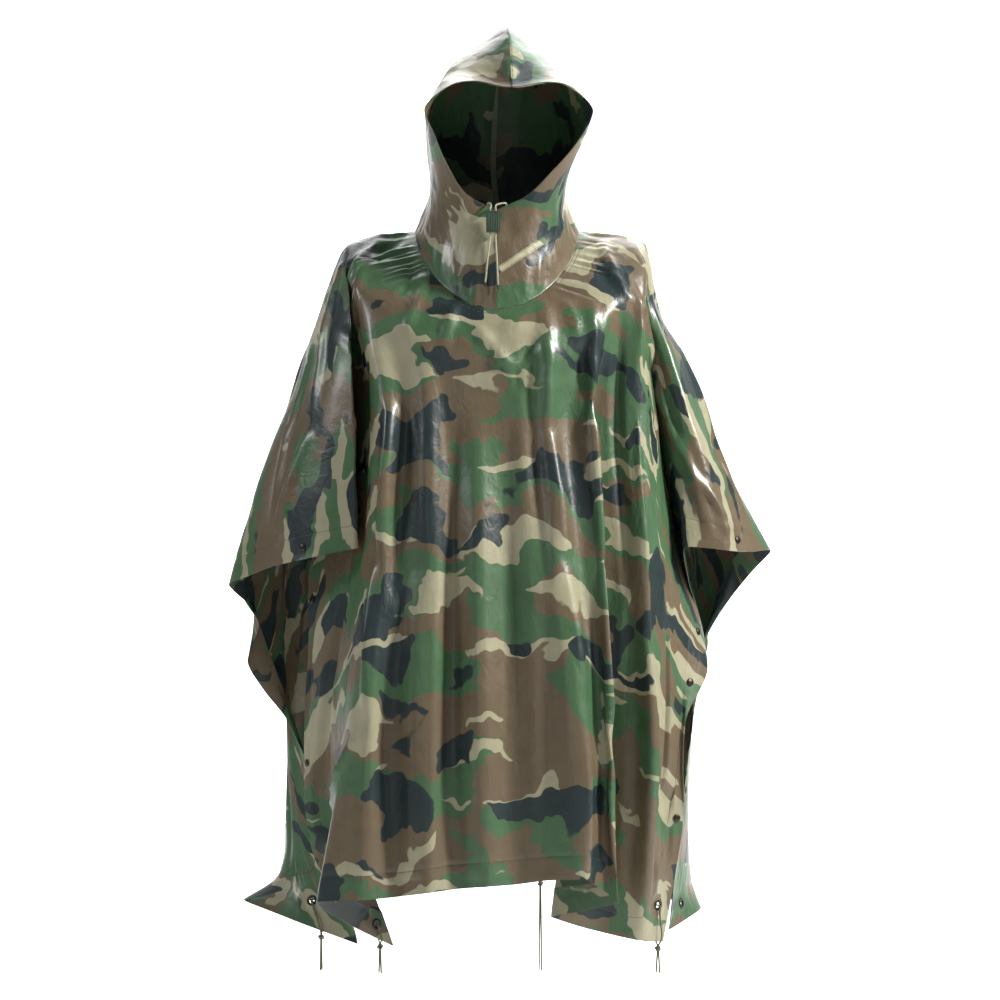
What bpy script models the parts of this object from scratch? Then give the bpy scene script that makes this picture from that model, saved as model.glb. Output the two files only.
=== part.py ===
"""Rain poncho with a fixed hood, in the form it takes when worn, with no wearer inside.

The cloth is one coated rectangle with a neck hole, built as a front and a back panel that meet
along the shoulder line. A hood of two halves is set into the neck hole. The sides are open and
carry press studs, and the corners carry eyelets with tie cords. Frame: +Z up, the front faces
-Y, and the origin is the middle of the neck opening at shoulder height, where the wearer's
shoulders and neck hold the garment. Every cloth piece is a wall around a smooth net of folds.
"""
from collections import namedtuple
import math

import bmesh
import bpy
import numpy as np
from mathutils import Matrix, Vector
from mathutils.bvhtree import BVHTree

MM = 0.001

# Cloth and seams
CLOTH = 1.2 * MM               # wall of the coated cloth
GAP = 0.3 * MM                 # clearance between pieces that touch
HEM_BAND = 36 * MM             # depth of the turned-up hem
HEM_EXTRA = 0.6 * MM           # what the turned-up layers add, on the inside
HEM_STEP = 9 * MM              # how softly that extra begins
CASING_WIDTH = 22 * MM         # channel for the drawcord round the face opening
CASING_WALL = 1.0 * MM
TAPE_HALF_WIDTH = 5 * MM       # tape over the hood's centre seam
TAPE_WALL = 1.0 * MM

# Neck opening, where the hood is set in
NECK_HALF_WIDTH = 127 * MM
NECK_FRONT = 150 * MM
NECK_BACK = 105 * MM
NECK_SIDE_HEIGHT = -20 * MM
NECK_FRONT_DROP = 132 * MM
NECK_BACK_RISE = 18 * MM

# Shoulders, where the cloth turns from lying to hanging
SHOULDER_HALF_WIDTH = 232 * MM
SHOULDER_FRONT = 165 * MM
SHOULDER_BACK = 118 * MM
SHOULDER_HEIGHT = -42 * MM
SHOULDER_FRONT_DROP = 148 * MM
SHOULDER_BACK_DROP = 62 * MM

# Where a fold is measured, as a share of its drop from the shoulders to its end
CHEST, WAIST, THIGH = 0.15, 0.40, 0.72

# Hood posture: it turns and leans a little to the wearer's left above the collar
HOOD_TURN = math.radians(5)
HOOD_LEAN = math.radians(2.3)
HOOD_POSTURE_HEIGHT = 120 * MM

# Cords, cord lock, eyelets and studs
DRAWCORD = 3.0 * MM
TIE = 2.6 * MM
CORD_STEP = 3.0                # most distance between a cord's points, in diameters
LOCK_WIDTH, LOCK_DEPTH, LOCK_HEIGHT = 20 * MM, 9 * MM, 32 * MM
EYELET_HOLE = 4.2 * MM         # radius of the clear hole
EYELET_BARREL = 5.2 * MM       # radius of the barrel in the cloth
EYELET_FLANGE = 8.5 * MM       # radius of the flanges
EYELET_FLANGE_WALL = 0.9 * MM
STUD_RADIUS = 6.0 * MM
STUD_HEIGHT = 2.4 * MM
STUD_REACH = 5 * MM            # how far above the hem its seat is looked for
SHANK_RADIUS = 2.0 * MM
SHANK_LEAST = 0.3 * MM
KNOT_RADIUS, KNOT_HEIGHT, KNOT_HOLE = 4.6 * MM, 8 * MM, 3.2 * MM
KNOT_BELOW_HEM = 10 * MM
TIE_SPREAD = 2.0 * MM          # how far each free end drifts from its neighbour
LOCK_PLACE = (-6 * MM, -143.5 * MM, -20 * MM)
LOCK_EDGE = 1.5 * MM
LOCK_HOLE_APART = 8 * MM
DRAWCORD_TIPS = {"right": (-18 * MM, -152 * MM, -118 * MM), "left": (2 * MM, -152.5 * MM, -122 * MM)}

# How finely the cloth is sampled
PANEL_STEPS_PER_FOLD = 2
PANEL_ROWS = 14
PANEL_ROW_SPREAD = 1.2
HOOD_ROWS = 10
CORNER_START = 0.75            # share of a line from which a corner's fold grows sharp
SHARP_ANGLE = math.radians(50)
LEAST_SQUARE = 0.4             # how obliquely a line may meet an edge and keep an even hem
CREASE = 0.6                   # how crisp the cloth is where it folds back on itself

Fold = namedtuple("Fold", "name turn x_chest x_waist x_thigh x_end y_chest y_waist y_thigh y_end z_end")

# Folds and edges of the front panel, from the wearer's right arm across to the left arm.
# turn: degrees round the neck from the middle of the front. x and y: millimetres where the fold
# passes chest, waist, thigh and its end. z_end: height of its end on the side edge or the hem.
FRONT_FOLDS = [Fold(*row) for row in (
    ("right_arm", -90, -267, -310, -374, -415, 0, 0, 0, 0, -569),
    ("right_sleeve_outer", -86, -251, -279, -322, -348, -45, -65, -80, -85, -540),
    ("right_sleeve_inner", -82, -236, -246, -263, -276, -80, -110, -128, -132, -523),
    ("right_sleeve_fold", -77, -224, -218, -211, -208, -98, -128, -150, -155, -509),
    ("right_armpit", -73, -222, -240, -262, -288, -56, -40, -34, -28, -548),
    ("right_edge_high", -69, -212, -236, -266, -289, -62, -46, -46, -50, -667),
    ("right_edge_middle", -65, -203, -228, -275, -295, -80, -70, -60, -62, -842),
    ("right_edge_low", -61, -196, -218, -262, -271, -104, -98, -98, -95, -990),
    ("right_corner", -57, -190, -204, -240, -158, -130, -134, -138, -118, -1109),
    ("right_tuck", -54, -184, -194, -232, -227, -146, -157, -166, -160, -1067),
    ("right_front_fold", -50, -178, -184, -222, -267, -155, -173, -198, -205, -1032),
    ("right_ridge", -45, -165, -165, -187, -194, -162, -196, -238, -252, -1021),
    ("right_trough", -36, -136, -136, -145, -146, -160, -190, -220, -232, -1019),
    ("middle_ridge_a", -27, -103, -96, -98, -100, -170, -208, -246, -258, -1010),
    ("middle_trough_a", -18, -70, -62, -60, -57, -168, -200, -228, -236, -1007),
    ("middle_ridge_b", -9, -33, -25, -19, -16, -172, -212, -248, -258, -1001),
    ("middle_trough_b", 0, 12, 19, 25, 25, -172, -204, -234, -240, -1000),
    ("left_ridge", 18, 73, 87, 124, 133, -176, -216, -254, -266, -991),
    ("left_trough", 30, 112, 126, 149, 158, -152, -188, -226, -238, -1010),
    ("pleat_edge", 38, 142, 156, 166, 177, -154, -192, -234, -246, -1024),
    ("pleat_inside", 42, 140, 136, 112, 82, -118, -138, -158, -165, -1059),
    ("left_panel_inner", 47, 165, 173, 172, 154, -112, -135, -150, -150, -1083),
    ("left_panel_ridge", 53, 189, 214, 228, 215, -112, -145, -168, -158, -1095),
    ("left_corner", 58, 219, 240, 252, 251, -120, -136, -146, -125, -1102),
    ("left_edge_low", 62, 223, 245, 275, 281, -99, -107, -115, -118, -919),
    ("left_edge_middle", 67, 226, 246, 276, 289, -82, -84, -87, -105, -758),
    ("left_edge_bulge", 71, 227, 246, 277, 322, -66, -61, -63, -65, -700),
    ("left_armpit", 75, 226, 242, 272, 313, -50, -38, -28, -20, -619),
    ("left_sleeve_fold", 80, 232, 250, 272, 286, -46, -62, -80, -100, -508),
    ("left_sleeve_inner", 85, 238, 270, 315, 354, -36, -66, -86, -92, -514),
    ("left_arm", 90, 240, 296, 352, 425, 0, 0, 0, 0, -516),
)]
FRONT_CORNERS = ("right_corner", "left_corner")

# Folds and edges of the back panel, from the wearer's right arm round the back to the left arm.
BACK_FOLDS = [Fold(*row) for row in (
    ("right_arm", -90, -267, -310, -374, -415, 0, 0, 0, 0, -569),
    ("right_sleeve_a", -95, -267, -319, -383, -374, 25, 37, 46, 38, -632),
    ("right_sleeve_b", -100, -266, -319, -379, -392, 44, 62, 78, 55, -689),
    ("right_sleeve_c", -106, -266, -321, -375, -330, 62, 85, 104, 40, -779),
    ("right_lap_edge", -109, -267, -327, -356, -280, 75, 100, 113, 5, -885),
    ("right_lap_low", -112, -268, -333, -353, -243, 85, 112, 97, -25, -1003),
    ("right_lap_corner", -115, -266, -334, -348, -214, 93, 120, 71, -50, -1117),
    ("right_side", -120, -256, -320, -351, -396, 102, 126, 103, 30, -1060),
    ("right_side_trough", -126, -234, -278, -322, -339, 110, 142, 148, 135, -1076),
    ("right_back_ridge", -132, -213, -242, -298, -318, 118, 167, 200, 215, -1088),
    ("right_back_trough", -138, -189, -204, -254, -262, 114, 160, 185, 190, -1084),
    ("blade_ridge_right", -145, -163, -173, -207, -217, 120, 178, 222, 245, -1081),
    ("blade_trough_right", -152, -131, -137, -157, -161, 122, 168, 198, 212, -1071),
    ("spine_ridge_right", -160, -99, -100, -113, -119, 126, 182, 232, 262, -1068),
    ("spine_trough_right", -168, -59, -60, -67, -69, 124, 170, 205, 222, -1056),
    ("spine_ridge", -176, -19, -20, -20, -20, 126, 184, 236, 268, -1056),
    ("spine_trough_left", -184, 17, 24, 27, 31, 125, 172, 207, 224, -1050),
    ("spine_ridge_left", -192, 60, 69, 77, 84, 126, 182, 234, 264, -1059),
    ("blade_trough_left", -200, 97, 111, 126, 135, 122, 168, 200, 216, -1059),
    ("blade_ridge_left", -208, 135, 153, 178, 193, 120, 176, 224, 250, -1073),
    ("left_back_trough", -215, 167, 189, 223, 240, 112, 158, 185, 195, -1075),
    ("left_back_ridge", -222, 195, 232, 268, 287, 113, 158, 192, 202, -1086),
    ("left_side_trough", -229, 214, 252, 285, 302, 109, 141, 146, 135, -1083),
    ("left_side", -234, 239, 293, 308, 318, 107, 125, 95, 30, -1074),
    ("left_lap_corner", -239, 246, 306, 309, 261, 99, 117, 72, -92, -1089),
    ("left_lap_low", -243, 247, 308, 310, 274, 91, 110, 80, -60, -1000),
    ("left_lap_edge", -247, 246, 306, 314, 288, 81, 101, 95, -28, -899),
    ("left_sleeve_d", -251, 245, 303, 331, 304, 68, 89, 108, 20, -790),
    ("left_sleeve_c", -256, 245, 296, 361, 316, 51, 70, 83, 54, -680),
    ("left_sleeve_a", -266, 248, 292, 368, 375, 20, 29, 37, 50, -579),
    ("left_arm", -270, 240, 296, 352, 425, 0, 0, 0, 0, -516),
)]
BACK_CORNERS = ("right_lap_corner", "left_lap_corner")

HoodLine = namedtuple("HoodLine", "name turn low neck temple crown end")

# Lines of one hood half, each from the neck seam up to the face edge or the centre seam.
# Each place is (x, y, z) in millimetres before the hood turns and leans.
HOOD_LINES = [HoodLine(*row) for row in (
    ("throat", 0, (0, -147, -120), (0, -142, -85), (0, -136, -50), (0, -130, -22), (0, -125, 0)),
    ("chin", 18, (40, -140, -105), (38, -136, -72), (37, -131, -35), (38, -128, -5), (45, -128, 22)),
    ("jaw", 38, (76, -118, -85), (73, -114, -45), (73, -116, 0), (76, -122, 34), (80, -131, 62)),
    ("cheek", 58, (102, -82, -50), (96, -82, -8), (97, -95, 42), (103, -116, 78), (110, -136, 108)),
    ("widest", 76, (114, -42, -20), (104, -46, 25), (108, -65, 80), (120, -103, 122), (127, -141, 150)),
    ("brow", 90, (115, -8, 2), (104, -12, 45), (115, -30, 108), (120, -85, 160), (103, -150, 175)),
    ("brim", 108, (110, 25, 12), (102, 22, 60), (114, 5, 125), (105, -65, 192), (55, -160, 195)),
    ("brim_middle", 126, (99, 54, 20), (93, 52, 72), (108, 38, 135), (92, -45, 215), (0, -166, 198)),
    ("forehead", 138, (82, 74, 24), (80, 78, 80), (97, 66, 145), (80, -15, 232), (0, -115, 243)),
    ("top_front", 150, (60, 92, 24), (60, 98, 85), (78, 90, 150), (66, 30, 240), (0, -60, 280)),
    ("top", 160, (40, 101, 22), (40, 110, 85), (54, 108, 148), (52, 68, 228), (0, 0, 296)),
    ("top_back", 170, (20, 105, 18), (20, 118, 75), (28, 122, 135), (32, 98, 208), (0, 60, 275)),
    ("nape", 180, (0, 107, 14), (0, 120, 62), (0, 128, 118), (0, 125, 170), (0, 105, 222)),
)]
HOOD_CORNERS = ("brim_middle",)

# Where the cloth beside the side edges is eased below the shoulders: fold, fold, rounds
EASE_FROM = 3
EASED = {
    "front_panel": (("left_panel_ridge", "left_armpit", 8),),
    "back_panel": (("right_arm", "right_side_trough", 7), ("left_side_trough", "left_arm", 3)),
}

# Eyelets: name, panel, the fold beside it, steps from that fold, height of the tie's tips (mm)
EYELETS = (
    ("front_right", "front_panel", "right_corner", 0, -1149),
    ("front_left", "front_panel", "left_corner", -1, -1147),
    ("back_right", "back_panel", "right_lap_corner", 0, -1161),
    ("back_left", "back_panel", "left_lap_corner", -1, None),
    ("back_middle", "back_panel", "spine_trough_left", 1, -1209),
)

# Press studs along the side edges: name, panel, the fold beside it, steps from that fold
STUDS = (
    ("front_right_1", "front_panel", "right_sleeve_outer", 1),
    ("front_right_2", "front_panel", "right_armpit", 1),
    ("front_right_3", "front_panel", "right_edge_middle", 0),
    ("front_right_4", "front_panel", "right_edge_low", 0),
    ("front_left_1", "front_panel", "left_sleeve_inner", 0),
    ("front_left_2", "front_panel", "left_edge_bulge", 0),
    ("front_left_3", "front_panel", "left_edge_middle", 0),
    ("front_left_4", "front_panel", "left_corner", 1),
    ("back_right_1", "back_panel", "right_arm", 1),
    ("back_right_2", "back_panel", "right_sleeve_b", 1),
    ("back_right_3", "back_panel", "right_lap_edge", 0),
    ("back_left_1", "back_panel", "left_sleeve_a", 0),
    ("back_left_2", "back_panel", "left_sleeve_c", -1),
    ("back_left_3", "back_panel", "left_lap_edge", -1),
)


# ---------------------------------------------------------------- smooth nets

def tangents(knots, values):
    """Slope at each knot of a smooth curve through the values, kept for uneven spacing. It is
    less where the curve turns back, so that a fold there stays crisp."""
    step = np.diff(knots)
    chord = np.diff(values, axis=0) / step[:, None]
    slope = np.empty_like(values)
    slope[0] = chord[0]
    slope[-1] = chord[-1]
    before, after = step[:-1, None], step[1:, None]
    slope[1:-1] = (after * chord[:-1] + before * chord[1:]) / (before + after)
    turning = (chord[:-1] * chord[1:]).sum(axis=1)
    turning /= np.linalg.norm(chord[:-1], axis=1) * np.linalg.norm(chord[1:], axis=1)
    slope[1:-1] *= np.clip((1 + turning) / 2, 0, 1)[:, None] ** CREASE
    return chord, slope


def smooth_curve(knots, values, where, broken=None, sharpness=0.0):
    """Points at `where` on the curve; at the knots listed in `broken` it may turn a corner."""
    chord, slope = tangents(knots, values)
    leaving, arriving = slope.copy(), slope.copy()
    for knot in broken or ():
        leaving[knot] = (1 - sharpness) * slope[knot] + sharpness * chord[knot]
        arriving[knot] = (1 - sharpness) * slope[knot] + sharpness * chord[knot - 1]
    index = np.clip(np.searchsorted(knots, where, side="right") - 1, 0, len(knots) - 2)
    step = (knots[index + 1] - knots[index])[:, None]
    t = (np.asarray(where)[:, None] - knots[index][:, None]) / step
    start_share = 2 * t ** 3 - 3 * t ** 2 + 1
    end_share = 1 - start_share
    start_slope = t ** 3 - 2 * t ** 2 + t
    end_slope = t ** 3 - t ** 2
    return (start_share * values[index] + end_share * values[index + 1]
            + step * (start_slope * leaving[index] + end_slope * arriving[index + 1]))


def arc_knots(points):
    """Distance along a row of points, from its first point."""
    return np.concatenate([[0.0], np.cumsum(np.linalg.norm(np.diff(points, axis=0), axis=1))])


def grid_normals(grid):
    """Normal at each point, the even mean of the faces round it, so that sharp folds keep the
    direction half way between their two sides."""
    diagonal_a = grid[1:, 1:] - grid[:-1, :-1]
    diagonal_b = grid[1:, :-1] - grid[:-1, 1:]
    faces = np.cross(diagonal_a, diagonal_b)
    faces /= np.linalg.norm(faces, axis=2, keepdims=True) + 1e-12
    normals = np.zeros_like(grid)
    for i in (0, 1):
        for j in (0, 1):
            normals[i:len(grid) - 1 + i, j:grid.shape[1] - 1 + j] += faces
    return normals / np.linalg.norm(normals, axis=2, keepdims=True)


class ClothNet:
    """A cloth surface through lines of places: one line for each fold, seam or edge."""

    def __init__(self, names, turns, lines, corners, facing, band):
        self.names = list(names)
        self.turns = list(turns)
        self.lines = [np.array(line, float) for line in lines]
        self.corners = [self.names.index(name) for name in corners]
        self.facing = facing           # 1 where the lines run down and round to +X outside
        self.band = band               # depth of the hem or casing at the lines' ends
        self.lengths = np.array([arc_knots(line)[-1] for line in self.lines])
        ends = np.array([line[-1] for line in self.lines])
        edge = np.gradient(ends, axis=0)
        arriving = ends - np.array([line[-2] for line in self.lines])
        size = np.linalg.norm(edge, axis=1) * np.linalg.norm(arriving, axis=1)
        square = np.linalg.norm(np.cross(edge, arriving), axis=1) / size
        self.oblique = 1 / np.maximum(square, LEAST_SQUARE)

    def line_points(self, index, shares):
        """Points of one line at shares of its length."""
        knots = arc_knots(self.lines[index])
        return smooth_curve(knots, self.lines[index], np.asarray(shares) * knots[-1])

    def columns(self, steps_per_line):
        """Line numbers to sample, with equal steps from each line to the next."""
        return np.linspace(0, len(self.names) - 1, (len(self.names) - 1) * steps_per_line + 1)

    def surface(self, columns, rows):
        """Grid of points and outward normals. A row is a share of the way to the band at the
        lines' ends, or a distance from the end, written ("end", distance)."""
        shares = []
        for row in rows:
            if isinstance(row, tuple):
                shares.append(1 - row[1] * self.oblique / self.lengths)
            else:
                shares.append(row * (1 - self.band * self.oblique / self.lengths))
        shares = np.array(shares)
        lines = np.array([self.line_points(k, shares[:, k]) for k in range(len(self.names))])
        grid = np.empty((len(columns), len(rows), 3))
        for j, share in enumerate(shares):
            knots = arc_knots(lines[:, j])
            where = np.interp(columns, range(len(knots)), knots)
            sharpness = min(max((share.min() - CORNER_START) / (1 - CORNER_START), 0.0), 1.0)
            grid[:, j] = smooth_curve(knots, lines[:, j], where, self.corners, sharpness)
        return grid, grid_normals(grid) * self.facing


# ---------------------------------------------------------------- solids

def material(name, colour, roughness, metallic=0.0):
    made = bpy.data.materials.new(name)
    made.use_nodes = True
    shader = made.node_tree.nodes["Principled BSDF"]
    shader.inputs["Base Color"].default_value = (*colour, 1.0)
    shader.inputs["Roughness"].default_value = roughness
    shader.inputs["Metallic"].default_value = metallic
    return made


def add_object(name, vertices, faces, finish):
    """A smooth-shaded closed piece with its faces turned outwards."""
    mesh = bpy.data.meshes.new(name)
    mesh.from_pydata([tuple(v) for v in vertices], [], [tuple(f) for f in faces])
    bm = bmesh.new()
    bm.from_mesh(mesh)
    bmesh.ops.recalc_face_normals(bm, faces=bm.faces)
    bm.to_mesh(mesh)
    bm.free()
    mesh.materials.append(finish)
    mesh.shade_smooth()
    mesh.set_sharp_from_angle(angle=SHARP_ANGLE)
    piece = bpy.data.objects.new(name, mesh)
    bpy.context.scene.collection.objects.link(piece)
    return piece


def wall(name, outer, inner, finish):
    """A closed wall between two grids of points of the same size."""
    columns, rows = outer.shape[:2]
    vertices = np.concatenate([outer.reshape(-1, 3), inner.reshape(-1, 3)])

    def at(i, j, layer):
        return layer * columns * rows + i * rows + j

    faces = []
    for i in range(columns - 1):
        for j in range(rows - 1):
            for layer in (0, 1):
                start, far = at(i, j, layer), at(i + 1, j + 1, layer)
                faces.append((start, at(i, j + 1, layer), far))
                faces.append((start, far, at(i + 1, j, layer)))
        for j in (0, rows - 1):
            faces.append((at(i, j, 0), at(i + 1, j, 0), at(i + 1, j, 1), at(i, j, 1)))
    for i in (0, columns - 1):
        for j in range(rows - 1):
            faces.append((at(i, j, 0), at(i, j, 1), at(i, j + 1, 1), at(i, j + 1, 0)))
    return add_object(name, vertices, faces, finish)


def along_normal(place, normal):
    """Matrix that stands a piece at a place, with its own Z along the normal."""
    turn = Vector(normal).to_track_quat("Z", "Y").to_matrix().to_4x4()
    return Matrix.Translation(place) @ turn


def turned_piece(name, profile, place, normal, finish, segments=12):
    """A solid turned round the normal. The profile's rows are (radius, height)."""
    stand = along_normal(place, normal)
    vertices, rings = [], []
    for radius, height in profile:
        first = len(vertices)
        count = 1 if radius == 0 else segments
        for k in range(count):
            angle = 2 * math.pi * k / segments
            vertices.append(stand @ Vector((radius * math.cos(angle), radius * math.sin(angle),
                                            height)))
        rings.append([first + k % count for k in range(segments)])
    pairs = list(zip(rings, rings[1:]))
    if profile[0][0] > 0:
        pairs.append((rings[-1], rings[0]))
    faces = []
    for lower, upper in pairs:
        for k in range(segments):
            corners = (lower[k], lower[(k + 1) % segments], upper[(k + 1) % segments], upper[k])
            faces.append(tuple(dict.fromkeys(corners)))
    return add_object(name, vertices, faces, finish)


def cut_round_hole(piece, place, normal, radius, depth):
    """Cut a round hole along a normal, with a guide cylinder that is no part of the object."""
    bm = bmesh.new()
    bmesh.ops.create_cone(bm, cap_ends=True, segments=12, radius1=radius, radius2=radius,
                          depth=depth, matrix=along_normal(place, normal))
    mesh = bpy.data.meshes.new("hole")
    bm.to_mesh(mesh)
    bm.free()
    cutter = bpy.data.objects.new("hole_in_" + piece.name, mesh)
    cutter.hide_render = True
    cutter.display_type = "WIRE"
    bpy.context.scene.collection.objects.link(cutter)
    cut = piece.modifiers.new("hole", "BOOLEAN")
    cut.operation = "DIFFERENCE"
    cut.object = cutter


def cord(name, route, diameter, finish):
    """A free cord as a tube on a smooth curve through its route, with flat ends."""
    route = np.array(route, float)
    knots = arc_knots(route)
    where = [0.0]
    for start, end in zip(knots, knots[1:]):
        steps = max(round((end - start) / (CORD_STEP * diameter)), 1)
        where += list(start + (end - start) * np.arange(1, steps + 1) / steps)
    points = smooth_curve(knots, route, where)
    curve = bpy.data.curves.new(name, "CURVE")
    curve.dimensions = "3D"
    curve.bevel_depth = diameter / 2
    curve.bevel_resolution = 2
    curve.use_fill_caps = True
    spline = curve.splines.new("POLY")
    spline.points.add(len(points) - 1)
    for point, place in zip(spline.points, points):
        point.co = (*place, 1.0)
    curve.materials.append(finish)
    piece = bpy.data.objects.new(name, curve)
    bpy.context.scene.collection.objects.link(piece)
    return piece


# ---------------------------------------------------------------- lines that pieces share

def neck_place(turn):
    """Point of the neck seam, `turn` degrees round from the middle of the front."""
    side, front = math.sin(math.radians(turn)), math.cos(math.radians(turn))
    if front > 0:
        depth = -NECK_FRONT * front
        height = NECK_SIDE_HEIGHT - NECK_FRONT_DROP * front ** 1.3
    else:
        depth = -NECK_BACK * front
        height = NECK_SIDE_HEIGHT + NECK_BACK_RISE * (-front) ** 1.3
    return np.array([NECK_HALF_WIDTH * side, depth, height])


def neck_frame(turn):
    """Outward normal of the cloth at the neck seam, and the way down across the seam."""
    along = neck_place(turn + 1) - neck_place(turn - 1)
    side, front = math.sin(math.radians(turn)), math.cos(math.radians(turn))
    outward = np.array([side, -front, 0.45 + 0.55 * abs(side)])
    outward -= along * outward.dot(along) / along.dot(along)
    outward /= np.linalg.norm(outward)
    down = np.cross(along, outward)
    return outward, down / np.linalg.norm(down)


NECK_STOPS = sorted({fold.turn % 360 for fold in FRONT_FOLDS + BACK_FOLDS} | {180, 360})


def neck_seam(turn, below):
    """Point and outward normal on the seam's straight stitches between the folds' stops, so
    that the panels and the hood keep one even gap. `below` is the distance from the seam."""
    bearing = turn % 360
    after = next(k for k, stop in enumerate(NECK_STOPS) if stop >= bearing)
    ends = NECK_STOPS[max(after - 1, 0)], NECK_STOPS[after]
    share = (bearing - ends[0]) / max(ends[1] - ends[0], 1e-9)
    (out_a, down_a), (out_b, down_b) = neck_frame(ends[0]), neck_frame(ends[1])
    place_a, place_b = neck_place(ends[0]) + down_a * below, neck_place(ends[1]) + down_b * below
    outward = out_a * (1 - share) + out_b * share
    return place_a * (1 - share) + place_b * share, outward / np.linalg.norm(outward)


def hood_turns(sign):
    """Degrees round from the throat where one hood half is stitched to the panels' folds."""
    bearings = [stop if sign > 0 else 360 - stop for stop in NECK_STOPS]
    return sorted(bearing for bearing in bearings if bearing <= 180)


def shoulder_place(turn):
    """Point where the cloth turns from lying on the shoulders to hanging."""
    side, front = math.sin(math.radians(turn)), math.cos(math.radians(turn))
    reach, drop = SHOULDER_BACK, SHOULDER_BACK_DROP
    if front > 0:
        reach, drop = SHOULDER_FRONT, SHOULDER_FRONT_DROP
    return np.array([math.copysign(SHOULDER_HALF_WIDTH * abs(side) ** 0.8, side),
                     math.copysign(reach * abs(front) ** 0.9, -front),
                     SHOULDER_HEIGHT - drop * abs(front) ** 1.2])


# ---------------------------------------------------------------- front and back panels

def fold_line(fold):
    """Places of one fold from the neck seam down to its end."""
    seam = neck_place(fold.turn) + neck_frame(fold.turn)[1] * GAP / 2
    shoulder = shoulder_place(fold.turn)
    if abs(abs(fold.turn) % 180 - 90) < 0.01:
        shoulder[1] = 0.0
        seam[1] = 0.0
    line = [seam, shoulder]
    for share, x, y in ((CHEST, fold.x_chest, fold.y_chest), (WAIST, fold.x_waist, fold.y_waist),
                        (THIGH, fold.x_thigh, fold.y_thigh), (1.0, fold.x_end, fold.y_end)):
        height = shoulder[2] + (fold.z_end * MM - shoulder[2]) * share
        line.append((x * MM, y * MM, height))
    return line


def ease(grid, first, last, rounds):
    """Let the cloth between two folds settle towards a taut sheet that keeps its edges."""
    place = arc_knots(grid[(first + last) // 2])[EASE_FROM:]
    ahead, behind = place[2:] - place[1:-1], place[1:-1] - place[:-2]
    weight = (ahead / (ahead + behind))[None, :, None]
    part = grid[first:last + 1, EASE_FROM:]
    for _ in range(rounds):
        along = weight * part[1:-1, :-2] + (1 - weight) * part[1:-1, 2:]
        across = (part[:-2, 1:-1] + part[2:, 1:-1]) / 2
        part[1:-1, 1:-1] = (along + across) / 2


def panel(name, folds, corners, side, finish):
    """A panel (side -1 in front, 1 behind) with its hem turned up inside. Returns the piece
    and the outer and inner grids that the studs and eyelets sit on."""
    net = ClothNet([fold.name for fold in folds], [fold.turn for fold in folds],
                   [fold_line(fold) for fold in folds], corners, -side, HEM_BAND)
    columns = net.columns(PANEL_STEPS_PER_FOLD)
    rows = list(np.linspace(0, 1, PANEL_ROWS) ** PANEL_ROW_SPREAD)
    rows[-1] = ("end", HEM_BAND + HEM_STEP)
    rows += [("end", HEM_BAND), ("end", 0.0)]
    grid, normals = net.surface(columns, rows)
    for start, stop, rounds in EASED[name]:
        span = [net.names.index(fold) * PANEL_STEPS_PER_FOLD for fold in (start, stop)]
        ease(grid, *span, rounds)
    normals = grid_normals(grid) * net.facing
    for i, turn in enumerate(np.interp(columns, range(len(net.turns)), net.turns)):
        grid[i, 0], normals[i, 0] = neck_seam(turn, GAP / 2)
    for i in (0, -1):
        grid[i, :, 1] = side * GAP / 2
        normals[i, :, 1] = 0
    normals /= np.linalg.norm(normals, axis=2, keepdims=True)
    inside = np.full(len(rows), CLOTH / 2)
    inside[-2:] += HEM_EXTRA
    outer = grid + normals * CLOTH / 2
    inner = grid - normals * inside[None, :, None]
    return wall(name, outer, inner, finish), net, outer, inner


def hem_spot(net, outer, inner, fold_name, offset):
    """Middle of the hem band beside a fold. Returns its place half way through the wall, its
    normal, the half wall outside and inside of it, and the way down to the hem's edge."""
    i = (net.names.index(fold_name) * PANEL_STEPS_PER_FOLD) + offset
    corners = [(i, -1), (i, -2), (i + 1, -2), (i + 1, -1)]
    out = np.array([outer[c] for c in corners])
    into = np.array([inner[c] for c in corners])
    place = (out.mean(axis=0) + into.mean(axis=0)) / 2
    normal = np.cross(out[0] - out[2], out[3] - out[1])
    normal *= np.sign(normal.dot(out.mean(axis=0) - place))
    normal /= np.linalg.norm(normal)
    outside = ((out - place) @ normal).max()
    inside = ((place - into) @ normal).max()
    edge = (out[0] + out[3] + into[0] + into[3]) / 4 - place
    edge -= normal * normal.dot(edge)
    return place, normal, outside, inside, edge


def eyelet(name, piece, spot, finish):
    """A barrel through the hem with a flange on each side."""
    place, normal, outside, inside, edge = spot
    cut_round_hole(piece, place, normal, EYELET_BARREL + GAP, 4 * (outside + inside))
    front, behind = outside + GAP, -inside - GAP
    profile = [(EYELET_HOLE, behind - EYELET_FLANGE_WALL),
               (EYELET_FLANGE, behind - EYELET_FLANGE_WALL), (EYELET_FLANGE, behind),
               (EYELET_BARREL, behind), (EYELET_BARREL, front), (EYELET_FLANGE, front),
               (EYELET_FLANGE, front + EYELET_FLANGE_WALL),
               (EYELET_HOLE, front + EYELET_FLANGE_WALL)]
    return turned_piece(name, profile, place, normal, finish)


def seat_height(piece, place, normal, radius):
    """Height over a place at which a flat disc clears all the cloth below it."""
    bm = bmesh.new()
    bm.from_mesh(piece.data)
    cloth = BVHTree.FromBMesh(bm)
    bm.free()
    stand = along_normal(place, normal)
    heights = []
    for k in range(24):
        angle = 2 * math.pi * k / 24
        for reach in (0.5 * radius, radius + GAP):
            above = Vector((reach * math.cos(angle), reach * math.sin(angle), STUD_REACH))
            hit = cloth.ray_cast(stand @ above, -Vector(normal), 2 * STUD_REACH)
            if hit[0] is not None:
                heights.append(STUD_REACH - hit[3])
    return max(heights)


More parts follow.
